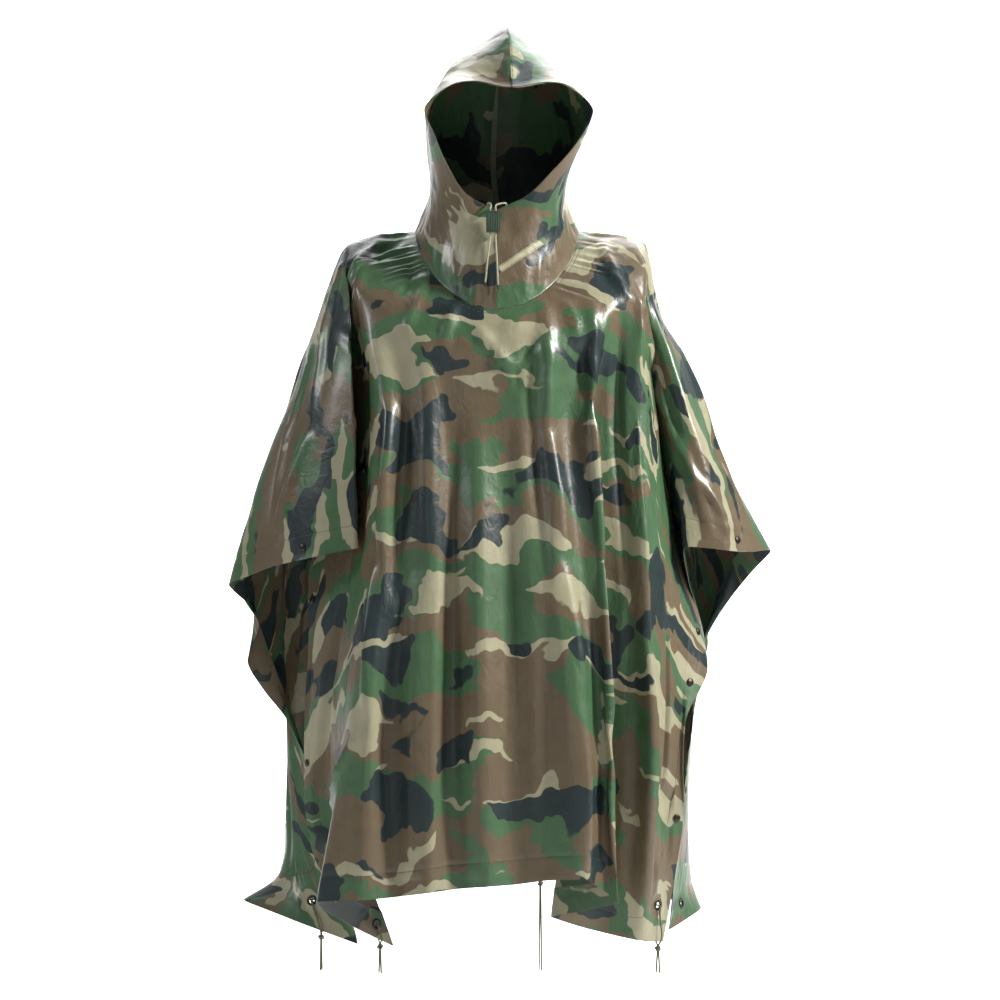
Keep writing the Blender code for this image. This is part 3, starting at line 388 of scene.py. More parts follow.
def shoulder_place(turn):
    """Point where the cloth turns from lying on the shoulders to hanging."""
    side, front = math.sin(math.radians(turn)), math.cos(math.radians(turn))
    reach, drop = SHOULDER_BACK, SHOULDER_BACK_DROP
    if front > 0:
        reach, drop = SHOULDER_FRONT, SHOULDER_FRONT_DROP
    return np.array([math.copysign(SHOULDER_HALF_WIDTH * abs(side) ** 0.8, side),
                     math.copysign(reach * abs(front) ** 0.9, -front),
                     SHOULDER_HEIGHT - drop * abs(front) ** 1.2])


print("neck stops", len(NECK_STOPS))


# %% [markdown]
# ## The two panels as coarse grids
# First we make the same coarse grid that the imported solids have, so that studs, eyelets and cords
# find the same places. The front and the back are then joined into one ring round the neck,
# because on the real poncho the cloth runs over the shoulders without a seam.

# %% Coarse grids of the panels
def fold_line(fold):
    """Places of one fold from the neck seam down to its end."""
    seam = neck_place(fold.turn) + neck_frame(fold.turn)[1] * GAP / 2
    shoulder = shoulder_place(fold.turn)
    if abs(abs(fold.turn) % 180 - 90) < 0.01:
        shoulder[1] = seam[1] = 0.0
    line = [seam, shoulder]
    for share, x, y in ((CHEST, fold.x_chest, fold.y_chest), (WAIST, fold.x_waist, fold.y_waist),
                        (THIGH, fold.x_thigh, fold.y_thigh), (1.0, fold.x_end, fold.y_end)):
        height = shoulder[2] + (fold.z_end * MM - shoulder[2]) * share
        line.append((x * MM, y * MM, height))
    return line


def ease(grid, first, last, rounds):
    """Let the cloth between two folds settle towards a taut sheet that keeps its edges."""
    place = arc_knots(grid[(first + last) // 2])[EASE_FROM:]
    ahead, behind = place[2:] - place[1:-1], place[1:-1] - place[:-2]
    weight = (ahead / (ahead + behind))[None, :, None]
    part = grid[first:last + 1, EASE_FROM:]
    for _ in range(rounds):
        along = weight * part[1:-1, :-2] + (1 - weight) * part[1:-1, 2:]
        across = (part[:-2, 1:-1] + part[2:, 1:-1]) / 2
        part[1:-1, 1:-1] = (along + across) / 2


def coarse_panel(name, folds, corners, side):
    """Grid and normals of a panel (side -1 in front, 1 behind), two steps for each fold."""
    net = ClothNet([fold.name for fold in folds], [fold.turn for fold in folds],
                   [fold_line(fold) for fold in folds], corners, -side, HEM_BAND)
    columns = np.linspace(0, len(folds) - 1, (len(folds) - 1) * 2 + 1)
    rows = list(np.linspace(0, 1, PANEL_ROWS) ** PANEL_ROW_SPREAD)
    rows[-1] = ("end", HEM_BAND + HEM_STEP)
    rows += [("end", HEM_BAND), ("end", 0.0)]
    grid, normals = net.surface(columns, rows)
    for start, stop, rounds in EASED[name]:
        ease(grid, net.names.index(start) * 2, net.names.index(stop) * 2, rounds)
    normals = grid_normals(grid) * net.facing
    for i, turn in enumerate(np.interp(columns, range(len(net.turns)), net.turns)):
        grid[i, 0], normals[i, 0] = neck_seam(turn, GAP / 2)
    return net, grid, normals


front_net, front_grid, front_normals = coarse_panel("front_panel", FRONT_FOLDS, FRONT_CORNERS, -1)
back_net, back_grid, back_normals = coarse_panel("back_panel", BACK_FOLDS, BACK_CORNERS, 1)
for grid in (front_grid, back_grid):
    grid[0, :, 1] = grid[-1, :, 1] = 0.0
ring = np.concatenate([front_grid, back_grid[-2:0:-1]])
ARM_LEFT = len(front_grid) - 1
CORNER_COLUMNS = [front_net.names.index(name) * 2 for name in FRONT_CORNERS]
CORNER_COLUMNS += [ARM_LEFT + len(back_grid) - 1 - back_net.names.index(name) * 2
                   for name in reversed(BACK_CORNERS)]
print("ring of", ring.shape, "corners at", CORNER_COLUMNS)


# %% [markdown]
# ## Laying the cloth flat again
# The print, the weave and the stitches belong to the flat cut. So the hanging ring is pressed
# flat: its points start on a rectangle with a round hole, and are pulled until each step between
# neighbours is as long as on the hung cloth. Those flat places become the UV map, in metres, and
# a print on it keeps its true scale over every fold.

# %% Press a grid flat
def press_flat(solid, flat, rounds, closed):
    """Relax flat places until neighbours are as far apart as on the solid grid."""
    count, depth = solid.shape[:2]
    links = []
    for across, along in ((1, 0), (0, 1), (1, 1), (1, -1)):
        rows = np.arange(max(-along, 0), depth - max(along, 0))
        columns = np.arange(count if closed or not across else count - 1)
        a = (columns[:, None] % count) * depth + rows[None, :]
        b = ((columns[:, None] + across) % count) * depth + rows[None, :] + along
        links.append((a.ravel(), b.ravel()))
    a = np.concatenate([link[0] for link in links])
    b = np.concatenate([link[1] for link in links])
    places = solid.reshape(-1, 3)
    rest = np.linalg.norm(places[b] - places[a], axis=1)
    flat = flat.reshape(-1, 2).copy()
    share = np.bincount(np.concatenate([a, b]), minlength=len(flat))[:, None]
    for _ in range(rounds):
        gap = flat[b] - flat[a]
        length = np.linalg.norm(gap, axis=1)
        pull = gap * ((length - rest) / (length + 1e-9) / 2)[:, None]
        move = np.zeros_like(flat)
        for axis in (0, 1):
            move[:, axis] = (np.bincount(a, pull[:, axis], len(flat))
                             - np.bincount(b, pull[:, axis], len(flat)))
        flat += 1.3 * move / share
    gap = np.linalg.norm(flat[b] - flat[a], axis=1)
    print("flat steps off by", round(float(np.mean(abs(gap - rest) / (rest + 1e-6))), 3))
    return flat.reshape(count, depth, 2)


# %% The poncho pressed flat
def first_guess():
    """Straight rays from a round neck hole out to a rectangle."""
    turns = np.concatenate([np.interp(np.arange(61) / 2, range(31), front_net.turns),
                            np.interp(np.arange(61) / 2, range(31), back_net.turns)[-2:0:-1] + 360])
    hole = 0.125 * np.stack([np.sin(np.radians(turns)), -np.cos(np.radians(turns))], axis=1)
    reach = arc_knots(np.concatenate([ring[:, -1], ring[:1, -1]]))
    right_front, left_front, left_back, right_back = CORNER_COLUMNS
    stops = [0, right_front, left_front, ARM_LEFT, left_back, right_back, len(ring)]
    places = np.array([(-0.70, 0), (-0.62, -1.0), (0.62, -1.0), (0.70, 0), (0.66, 1.08),
                       (-0.66, 1.08), (-0.70, 0)])
    edge = np.stack([np.interp(reach[:-1], reach[stops], places[:, k]) for k in (0, 1)], axis=1)
    along = np.array([arc_knots(column) / arc_knots(column)[-1] for column in ring])
    return hole[:, None] * (1 - along[..., None]) + edge[:, None] * along[..., None]


ring_flat = press_flat(ring, first_guess(), 900, closed=True)
cut_size = ring_flat.reshape(-1, 2).max(axis=0) - ring_flat.reshape(-1, 2).min(axis=0)
print("flat size of what is built", cut_size.round(3))

# %% [markdown]
# ## Where the metal sits
# Press studs and eyelets go through the middle of the hem, which is turned up to carry them. Each
# is named by the fold beside it, so it stays with the cloth. Metal presses the cloth flat round
# it, so the fine cloth is flattened there, and small holes are cut for the eyelets.

# %% Spots of eyelets and studs
EYELETS = (
    ("front_right", "front", "right_corner", 0, -1149), ("front_left", "front", "left_corner", -1, -1147),
    ("back_right", "back", "right_lap_corner", 0, -1161), ("back_left", "back", "left_lap_corner", -1, None),
    ("back_middle", "back", "spine_trough_left", 1, -1209),
)
STUDS = (
    ("front_right_1", "front", "right_sleeve_outer", 1), ("front_right_2", "front", "right_armpit", 1),
    ("front_right_3", "front", "right_edge_middle", 0), ("front_right_4", "front", "right_edge_low", 0),
    ("front_left_1", "front", "left_sleeve_inner", 0), ("front_left_2", "front", "left_edge_bulge", 0),
    ("front_left_3", "front", "left_edge_middle", 0), ("front_left_4", "front", "left_corner", 1),
    ("back_right_1", "back", "right_arm", 1), ("back_right_2", "back", "right_sleeve_b", 1),
    ("back_right_3", "back", "right_lap_edge", 0), ("back_left_1", "back", "left_sleeve_a", 0),
    ("back_left_2", "back", "left_sleeve_c", -1), ("back_left_3", "back", "left_lap_edge", -1),
)
Spot = namedtuple("Spot", "place normal edge column")
PANELS = {"front": (front_net, front_grid, front_normals), "back": (back_net, back_grid, back_normals)}


def hem_spot(panel, fold_name, offset):
    """Middle of the hem band beside a fold: its place in the wall, its outward normal, the way
    to the hem's edge, and the coarse column where it starts."""
    net, grid, ways = PANELS[panel]
    i = net.names.index(fold_name) * 2 + offset
    corners = [(i, -1), (i, -2), (i + 1, -2), (i + 1, -1)]
    out = np.array([grid[c] + ways[c] * CAD_CLOTH / 2 for c in corners])
    into = np.array([grid[c] - ways[c] * (CAD_CLOTH / 2 + 0.6 * MM) for c in corners])
    place = (out.mean(axis=0) + into.mean(axis=0)) / 2
    normal = np.cross(out[0] - out[2], out[3] - out[1])
    normal *= np.sign(normal.dot(out.mean(axis=0) - place))
    normal /= np.linalg.norm(normal)
    edge = (out[0] + out[3] + into[0] + into[3]) / 4 - place
    edge -= normal * normal.dot(edge)
    return Spot(place, normal, edge, i)


eyelet_spots = {row[0]: hem_spot(*row[1:4]) for row in EYELETS}
stud_spots = {row[0]: hem_spot(*row[1:4]) for row in STUDS}
print("spots", len(eyelet_spots) + len(stud_spots))

# %% [markdown]
# ## Fine cloth
# The coarse ring is sampled finely, closer where the cloth has more to tell. The sampling goes
# through the coarse points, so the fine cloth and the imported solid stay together, and corner
# columns keep their corners.

# %% Fine sampling of a grid
def sample_places(column_counts, closed):
    """Column numbers of the fine samples, so many steps in each coarse interval."""
    where = [0.0]
    for k, count in enumerate(column_counts):
        where += list(k + np.arange(1, count + 1) / count)
    return np.array(where[:-1] if closed else where)


def finer(grid, closed, column_counts, fine_rows, corners=(), start_row=0, crease=CREASE):
    """Sample a coarse grid finely: steps in each coarse interval, and fractional row numbers."""
    values = np.concatenate([grid[-3:], grid, grid[:4]]) if closed else grid
    pad = 3 if closed else 0
    where = sample_places(column_counts, closed) + pad
    size = values.shape[1]
    made = np.empty((len(where), size, values.shape[2]))
    for j in range(size):
        knots = arc_knots(values[:, j])
        knots = knots + np.arange(len(knots)) * 1e-9
        sharpness = min(max((j - start_row) / (size - 1 - start_row), 0.0), 1.0)
        at = np.interp(where, range(len(knots)), knots)
        broken = [corner + pad for corner in corners]
        made[:, j] = smooth_curve(knots, values[:, j], at, broken, sharpness, crease)
    fine = np.empty((len(where), len(fine_rows), values.shape[2]))
    for i in range(len(where)):
        knots = arc_knots(made[i])
        at = np.interp(fine_rows, range(size), knots)
        fine[i] = smooth_curve(knots, made[i], at, crease=crease)
    return fine


def linear_finer(values, closed, column_counts, fine_rows):
    """The same sampling, straight from point to point, for numbers that go with the places."""
    where = sample_places(column_counts, closed)
    values = np.concatenate([values, values[:1]]) if closed else values
    low = np.minimum(where.astype(int), len(values) - 2)
    share = (where - low)[:, None, None]
    across = values[low] * (1 - share) + values[low + 1] * share
    low = np.minimum(np.asarray(fine_rows).astype(int), values.shape[1] - 2)
    share = (np.asarray(fine_rows) - low)[None, :, None]
    return across[:, low] * (1 - share) + across[:, low + 1] * share


PANEL_COLUMNS, MIDDLE_ROW, CORNER_ROW, EYELET_STEP = 640, 8, 9, 1.8 * MM
STEP_ROW, BAND_ROW, EDGE_ROW = 13, 14, 15
whole_ring = np.concatenate([ring, ring[:1]])
edge_steps = np.linalg.norm(np.diff(whole_ring[:, -1], axis=0), axis=1)
middle_steps = np.linalg.norm(np.diff(whole_ring[:, MIDDLE_ROW], axis=0), axis=1)
weights = np.maximum(edge_steps, middle_steps)
panel_counts = np.maximum(np.round(weights / weights.sum() * PANEL_COLUMNS).astype(int), 3)
for row in EYELETS:
    at = eyelet_spots[row[0]].column
    at = at if row[1] == "front" else (ARM_LEFT + len(back_grid) - 1 - at - 1)
    panel_counts[at] = max(panel_counts[at], int(edge_steps[at] / EYELET_STEP))
panel_rows = np.concatenate([np.linspace(0, STEP_ROW, 84)[:-1],
                             [STEP_ROW, 13.5, 13.9, BAND_ROW, 14.06, 14.14],
                             np.linspace(14.2, 14.8, 13), [14.87, 14.94, EDGE_ROW]])
cloth = finer(ring, True, panel_counts, panel_rows, CORNER_COLUMNS, start_row=CORNER_ROW)
flat = linear_finer(ring_flat, True, panel_counts, panel_rows)
print("fine ring", cloth.shape)

# %% Distance from the hem and along it
hem_rows = [STEP_ROW, BAND_ROW, EDGE_ROW]
edge_row = np.interp(panel_rows, hem_rows, [HEM_BAND + HEM_STEP, HEM_BAND, 0.0])
from_edge = np.repeat(edge_row[None, :], len(cloth), axis=0)
inner_rows = panel_rows < STEP_ROW
stop = np.argmin(abs(panel_rows - STEP_ROW))
for i in range(len(cloth)):
    reach = arc_knots(cloth[i])
    from_edge[i, inner_rows] = HEM_BAND + HEM_STEP + reach[stop] - reach[inner_rows]
along_edge = arc_knots(cloth[:, -1])
from_neck = np.array([arc_knots(column) for column in cloth])
print("edge runs", round(float(along_edge[-1]), 2), "m round the cloth")

# %% [markdown]
# ## Creases placed one by one
# The large folds are in the net. The smaller ones are laid on it one by one: a row for each, with
# its two ends, how wide and how deep it is in millimetres, and how crisp. A positive depth stands
# out as a ridge, a negative one is a trough. They are uneven on purpose. Those of the front are
# placed in the camera's picture, across and down in its thousand pixels, and we look up
# which place of the flat cut lies there. Those of the back are placed on the flat cut itself.

# %% Where the front cloth stands in the camera's picture
PICTURE_SIZE, SEEN_SQUARE, SEEN_DEPTH = 1000, 3, 30 * MM
columns_from_start = np.concatenate([[0], np.cumsum(panel_counts)])
LEFT_ARM_FINE = int(columns_from_start[ARM_LEFT])
bare_normals = grid_normals(cloth, closed=True)
facing = 1.0 if bare_normals[LEFT_ARM_FINE // 2, 40] @ np.array([0, -1, 0]) > 0 else -1.0


def in_picture(points, ways):
    """Pixels across and down of each point, and whether the camera sees the outer side there."""
    ray = points - np.array(camera.location)
    scale = PICTURE_SIZE * camera.data.lens / camera.data.sensor_width
    across = PICTURE_SIZE / 2 + scale * ray[..., 0] / ray[..., 1]
    down = PICTURE_SIZE / 2 - scale * ray[..., 2] / ray[..., 1]
    square = (across / SEEN_SQUARE).round() * PICTURE_SIZE + (down / SEEN_SQUARE).round()
    square = square.astype(int)
    nearest = np.full(square.max() + 1, np.inf)
    np.minimum.at(nearest, square.ravel(), ray[..., 1].ravel())
    seen = ray[..., 1] < nearest[square] + SEEN_DEPTH
    return across, down, seen & ((ways * ray).sum(axis=2) < 0)


picture_x, picture_y, picture_seen = in_picture(cloth, bare_normals * facing)


def on_cut(x, y):
    """Flat place, to the millimetre, of the cloth that is seen nearest to a pixel."""
    far = np.where(picture_seen, (picture_x - x) ** 2 + (picture_y - y) ** 2, np.inf)
    u, v = flat[np.unravel_index(np.argmin(far), far.shape)]
    return round(float(u) / MM), round(float(v) / MM)


print("seen from the camera", round(float(picture_seen.mean()), 2), "of the ring")

# %% Table of creases on the front
SeenCrease = namedtuple("SeenCrease", "name x0 y0 x1 y1 width depth crisp")
FRONT_CREASES = [SeenCrease(*row) for row in (
    ("neck_v_left", 473, 325, 490, 352, 14, 4, 1.2), ("neck_v_bottom", 490, 352, 514, 370, 14, 5, 1.2),
    ("neck_v_right", 535, 337, 518, 370, 12, -4, 1.0), ("neck_v_tail", 516, 370, 520, 392, 9, -3, 1.0),
    ("right_ridge_high", 391, 400, 378, 560, 22, 7, 1.3),
    ("right_ridge_middle", 376, 560, 366, 720, 24, 8, 1.3),
    ("right_ridge_low", 365, 730, 366, 895, 20, 7, 1.3),
    ("right_trough_high", 404, 400, 392, 600, 20, -5, 1.0),
    ("right_trough_low", 390, 620, 384, 881, 22, -5, 1.0),
    ("right_side_trough", 350, 560, 322, 830, 24, -6, 1.0),
    ("middle_a_high", 430, 330, 420, 561, 30, 5, 1.0), ("middle_a_low", 420, 570, 412, 880, 28, 5, 1.0),
    ("middle_a_trough", 452, 420, 446, 860, 26, -5, 1.0), ("middle_b", 478, 400, 474, 880, 30, 4.5, 1.0),
    ("middle_b_trough", 506, 420, 505, 880, 26, -4, 1.0),
    ("band_trough_high", 532, 340, 545, 600, 22, -5, 1.0),
    ("band_trough_low", 545, 600, 548, 876, 26, -4, 1.0), ("band_top", 546, 300, 550, 430, 18, 6, 1.3),
    ("band_high", 551, 430, 566, 560, 20, 7, 1.3), ("band_low", 568, 560, 584, 700, 20, 6, 1.3),
    ("band_end", 584, 700, 588, 870, 20, 4, 1.2), ("pleat_trough_high", 572, 330, 588, 560, 16, -5, 1.0),
    ("pleat_trough_low", 590, 560, 598, 860, 16, -5, 1.0),
    ("pleat_edge_high", 592, 300, 604, 560, 13, 7, 1.5), ("pleat_edge_low", 606, 560, 612, 870, 13, 7, 1.5),
    ("left_trough_high", 620, 300, 628, 600, 18, -5, 1.0),
    ("left_trough_low", 628, 600, 630, 900, 20, -5, 1.0),
    ("left_ridge_high", 639, 420, 650, 640, 18, 5, 1.2), ("left_ridge_low", 650, 640, 652, 900, 20, 6, 1.2),
    ("left_edge_trough", 668, 600, 668, 860, 14, -4, 1.0),
    ("chest_right", 430, 272, 404, 330, 14, 4, 1.2), ("chest_right_trough", 412, 262, 398, 300, 10, -3, 1.0),
    ("chest_right_inner", 455, 300, 440, 352, 14, 3.5, 1.0), ("chest_left", 566, 300, 578, 352, 10, 4, 1.2),
    ("right_shoulder", 400, 240, 360, 262, 14, -4, 1.0),
    ("right_armpit_ridge", 361, 262, 366, 380, 16, 5, 1.2),
    ("right_sleeve_a", 384, 232, 352, 330, 16, 4, 1.0), ("right_sleeve_b", 342, 262, 312, 420, 18, 5, 1.2),
    ("right_sleeve_c", 312, 429, 276, 548, 20, 5, 1.1),
    ("right_sleeve_trough", 336, 330, 326, 545, 18, -5, 1.0),
    ("right_sleeve_d", 346, 420, 345, 550, 14, 4, 1.0), ("left_shoulder", 601, 240, 628, 300, 12, 4, 1.2),
    ("left_sleeve_a", 628, 300, 668, 420, 16, 5, 1.2), ("left_sleeve_b", 668, 420, 708, 540, 18, 5, 1.2),
    ("left_sleeve_trough", 650, 330, 690, 480, 12, -4, 1.0),
    ("left_sleeve_c", 690, 470, 735, 545, 14, 4, 1.2),
)]
print("front creases", len(FRONT_CREASES))

# %% Table of creases on the back
Crease = namedtuple("Crease", "u0 v0 u1 v1 width depth crisp")
BACK_CREASES = (
    (-60, 120, -95, 420, 22, 5, 1.2), (-95, 420, -120, 820, 24, 6, 1.2),
    (-120, 820, -128, 1030, 22, 5, 1.1), (-20, 140, -24, 520, 20, -5, 1), (-24, 520, -22, 1020, 24, -5, 1),
    (35, 110, 52, 380, 20, 5, 1.2), (52, 380, 74, 900, 26, 6, 1.2), (105, 150, 150, 560, 22, -5, 1),
    (150, 560, 176, 1010, 24, -6, 1), (160, 140, 235, 520, 20, 5, 1.3), (235, 520, 300, 900, 24, 6, 1.2),
    (300, 900, 330, 1040, 20, 4, 1.1), (-150, 150, -215, 540, 22, -6, 1),
    (-215, 540, -262, 1000, 24, -5, 1), (-205, 130, -330, 560, 22, 6, 1.3),
    (-330, 560, -420, 930, 22, 5, 1.2), (-70, 60, -130, 110, 12, 4, 1.2), (70, 55, 135, 100, 12, 4, 1.2),
    (0, 70, 4, 150, 12, 3, 1.2), (-250, 60, -460, 150, 18, 5, 1.2), (-300, 110, -520, 330, 18, -5, 1),
    (-330, 30, -600, 60, 16, 4, 1.2), (240, 60, 450, 140, 18, 5, 1.2), (300, 110, 520, 320, 18, -5, 1),
    (330, 28, 590, 60, 16, 4, 1.2), (380, 300, 560, 620, 20, 5, 1.1), (-390, 300, -560, 640, 20, 5, 1.1),
    (430, 640, 560, 880, 18, -4, 1), (-430, 660, -570, 900, 18, -4, 1), (-40, 640, 30, 700, 12, 3, 1.3),
    (180, 700, 250, 760, 12, 3, 1.3),
)
CREASES = [Crease(*on_cut(seen.x0, seen.y0), *on_cut(seen.x1, seen.y1), seen.width, seen.depth,
                  seen.crisp) for seen in FRONT_CREASES]
CREASES += [Crease(*row) for row in BACK_CREASES]
print("creases", len(CREASES))


# %% Lay creases and the fine unrest of coated cloth on the grid
def crease_heights(places, creases):
    """How far each flat place is pushed out by all the creases."""
    height = np.zeros(places.shape[:2])
    for crease in creases:
        start = np.array([crease.u0, crease.v0]) * MM
        run = np.array([crease.u1, crease.v1]) * MM - start
        length = np.linalg.norm(run)
        along = ((places - start) @ run) / length ** 2
        off = places - start - np.clip(along, 0, 1)[..., None] * run
        near = np.linalg.norm(off, axis=2) / (crease.width * MM)
        fade = np.clip(1 - abs(along - 0.5) * 2, 0, 1) ** 0.5
        near = np.clip(1 - near, 0, 1)
        sharp = crease.crisp - 1
        profile = (1 - sharp) * smooth_step(near) + sharp * near ** 1.6
        height += 2 * crease.depth * MM * profile * fade
    return height


def cloth_unrest(places, seed, size, stretch):
    """Soft uneven hollows of one size, longer down the cloth than across."""
    made = np.empty(places.shape[:2])
    for i, column in enumerate(places):
        for j, (u, v) in enumerate(column):
            made[i, j] = noise.noise(Vector((u / size, v / (size * stretch), seed)))
    return made


unrest = 3.0 * MM * cloth_unrest(flat, 3.1, 0.060, 3.0)
folded = abs(cloth_unrest(flat, 8.7, 0.028, 1.7))
calm = np.clip(cloth_unrest(flat, 15.2, 0.13, 1.3) + 0.15, 0, 1)
unrest += 2.6 * MM * (0.25 - folded) * calm
height = unrest + crease_heights(flat, CREASES)
print("unrest in mm from", round(float(unrest.min() / MM), 2), "to",
      round(float(unrest.max() / MM), 2))

# %% Puckers along the hem's stitches
PUCKER_LENGTH, SEAM_DIP, BAND_SWELL, NECK_GATHER = 16 * MM, 0.55 * MM, 0.9 * MM, 4.5 * MM
pucker = np.array([[noise.noise(Vector((s / PUCKER_LENGTH, 0.0, 4.4)))] for s in along_edge])
stitch_dip = np.exp(-((from_edge - HEM_BAND) / (2.2 * MM)) ** 2)
band_swell = np.exp(-((from_edge - HEM_BAND) / (16 * MM)) ** 2)
height += -SEAM_DIP * stitch_dip + BAND_SWELL * pucker * band_swell
gather = np.array([noise.noise(Vector((turn / 5.0, 3.0, 9.0))) for turn in np.interp(
    np.arange(len(cloth)), np.linspace(0, len(cloth), 121), np.linspace(-90, 270, 121))])
height += NECK_GATHER * gather[:, None] * np.exp(-((from_neck - 30 * MM) / (26 * MM)) ** 2)
settle = np.clip(from_neck / (18 * MM), 0, 1)
height *= settle
surface = cloth + bare_normals * height[..., None]
for spot in (*eyelet_spots.values(), *stud_spots.values()):
    off = surface - spot.place
    rise = off @ spot.normal
    reach = np.linalg.norm(off - rise[..., None] * spot.normal, axis=2)
    press = np.clip((24 * MM - reach) / (13 * MM), 0, 1)
    press = smooth_step(press) * (abs(rise) < 9 * MM)
    surface -= (press * rise)[..., None] * spot.normal
normals = grid_normals(surface, closed=True)
print("cloth pushed out at most", round(float(abs(height).max() / MM), 1), "mm")


# %% [markdown]
# ## Printed, coated ripstop
# Woodland print is laid down in four colours: brown ground, mid green, sand drawn out in thin
# branching shapes, and blue-black on top. Each colour is a noise whose coordinates are bent by
# two others, a small and a wide one, which gives the lobed edges, and is stretched along the
# width of the cloth. A fine square grid of thicker yarns, the ripstop, and a weave under it give
# the bump. The coating makes the gloss, and small uneven facets break the reflections up.

# %% Node helpers
def new_material(name):
    made = bpy.data.materials.new(name)
    made.use_nodes = True
    return made, made.node_tree.nodes, made.node_tree.links, made.node_tree.nodes["Principled BSDF"]


def math_node(tree, operation, first, second=None, clamp=False):
    """A Math node; each input is a number or another node's output."""
    node = tree.nodes.new("ShaderNodeMath")
    node.operation = operation
    node.use_clamp = clamp
    for slot, value in ((0, first), (1, second)):
        if value is None:
            continue
        if isinstance(value, (int, float)):
            node.inputs[slot].default_value = value
        else:
            tree.links.new(value, node.inputs[slot])
    return node.outputs[0]


def mapped(tree, source, scale, shift=(0, 0, 0), angle=0.0):
    """The source coordinates, scaled, shifted and turned."""
    node = tree.nodes.new("ShaderNodeMapping")
    node.inputs["Scale"].default_value = scale
    node.inputs["Location"].default_value = shift
    node.inputs["Rotation"].default_value = (0, 0, angle)
    tree.links.new(source, node.inputs["Vector"])
    return node.outputs[0]


def noise_node(tree, source, scale, detail=1.0, roughness=0.5, distortion=0.0, socket="Fac"):
    """A noise on the source coordinates; its socket is the even value or the colour."""
    node = tree.nodes.new("ShaderNodeTexNoise")
    node.inputs["Scale"].default_value = scale
    node.inputs["Detail"].default_value = detail
    node.inputs["Roughness"].default_value = roughness
    node.inputs["Distortion"].default_value = distortion
    tree.links.new(source, node.inputs["Vector"])
    return node.outputs[socket]


def map_range(tree, value, low=0.0, high=1.0, to_low=0.0, to_high=1.0):
    """Values from low to high spread evenly from to_low to to_high, and held at those ends."""
    node = tree.nodes.new("ShaderNodeMapRange")
    limits = {"From Min": low, "From Max": high, "To Min": to_low, "To Max": to_high}
    for name, limit in limits.items():
        node.inputs[name].default_value = limit
    tree.links.new(value, node.inputs["Value"])
    return node.outputs[0]


def bump(tree, height, strength, distance, normal=None):
    """A normal bent by a height; bumps can be stacked through `normal`."""
    node = tree.nodes.new("ShaderNodeBump")
    node.inputs["Strength"].default_value = strength
    node.inputs["Distance"].default_value = distance
    tree.links.new(height, node.inputs["Height"])
    if normal is not None:
        tree.links.new(normal, node.inputs["Normal"])
    return node.outputs[0]


def uv_map(tree, map_name):
    """The coordinates of a named UV map."""
    node = tree.nodes.new("ShaderNodeUVMap")
    node.uv_map = map_name
    return node.outputs[0]


def parts_of(tree, source):
    """The three numbers of a coordinate, each by itself."""
    node = tree.nodes.new("ShaderNodeSeparateXYZ")
    tree.links.new(source, node.inputs[0])
    return node.outputs


def mixed(tree, share, first, second):
    """Mix two colours; each is a colour or another node's output."""
    node = tree.nodes.new("ShaderNodeMix")
    node.data_type = "RGBA"
    for slot, value in ((0, share), (6, first), (7, second)):
        if isinstance(value, (tuple, float)):
            node.inputs[slot].default_value = value if isinstance(value, float) else (*value, 1)
        else:
            tree.links.new(value, node.inputs[slot])
    return node.outputs[2]


print("node helpers ready")

# %% Woodland colours
BROWN, GREEN = (0.105, 0.078, 0.046), (0.046, 0.100, 0.046)
BLACK, SAND = (0.011, 0.021, 0.023), (0.27, 0.255, 0.170)
GREEN_LEVEL, SAND_LEVEL, BLACK_LEVEL, PRINT_RIM = 0.495, 0.585, 0.585, 0.004


def woodland(tree, map_name, shift):
    """The print's colour on a UV map in metres, and the shifted coordinates under it."""
    base = mapped(tree, uv_map(tree, map_name), (1, 1, 1), shift)
    bent = base
    for scale, detail, reach in ((40, 0.6, 36 * MM), (13, 0, 85 * MM)):
        centred = tree.nodes.new("ShaderNodeVectorMath")
        centred.operation = "SUBTRACT"
        centred.inputs[1].default_value = (0.5, 0.5, 0.5)
        tree.links.new(noise_node(tree, base, scale, detail, socket="Color"), centred.inputs[0])
        added = tree.nodes.new("ShaderNodeVectorMath")
        added.operation = "MULTIPLY_ADD"
        added.inputs[1].default_value = (reach, reach, 0)
        tree.links.new(centred.outputs[0], added.inputs[0])
        tree.links.new(bent, added.inputs[2])
        bent = added.outputs[0]
    green_at = noise_node(tree, mapped(tree, bent, (6.4, 14.0, 1), (1.7, 0.4, 2.3)), 1.0, 1.0)
    sand_at = noise_node(tree, mapped(tree, bent, (6.0, 19.0, 1), (6.1, 3.3, 5.9), -0.12), 1.0, 1.4)
    black_at = noise_node(tree, mapped(tree, bent, (9.0, 14.0, 1), (9.3, 5.2, 7.7), 0.5), 1.0, 1.0)
    green, sand, black = (map_range(tree, at, level - PRINT_RIM, level + PRINT_RIM) for at, level in (
        (green_at, GREEN_LEVEL), (sand_at, SAND_LEVEL), (black_at, BLACK_LEVEL)))
    colour = mixed(tree, green, BROWN, GREEN)
    colour = mixed(tree, sand, colour, SAND)
    return mixed(tree, black, colour, BLACK), base


print("print colours", BROWN, GREEN, BLACK, SAND)


# %% Ripstop with its coating, stitches and facets
RIPSTOP_PITCH, RIB_HALF_SHARE, STITCH_PITCH, STITCH_SHARE = 5.5 * MM, 0.075, 3.6 * MM, 0.72
THREAD_HALF_WIDTH, THREAD = 0.45 * MM, (0.055, 0.060, 0.035)


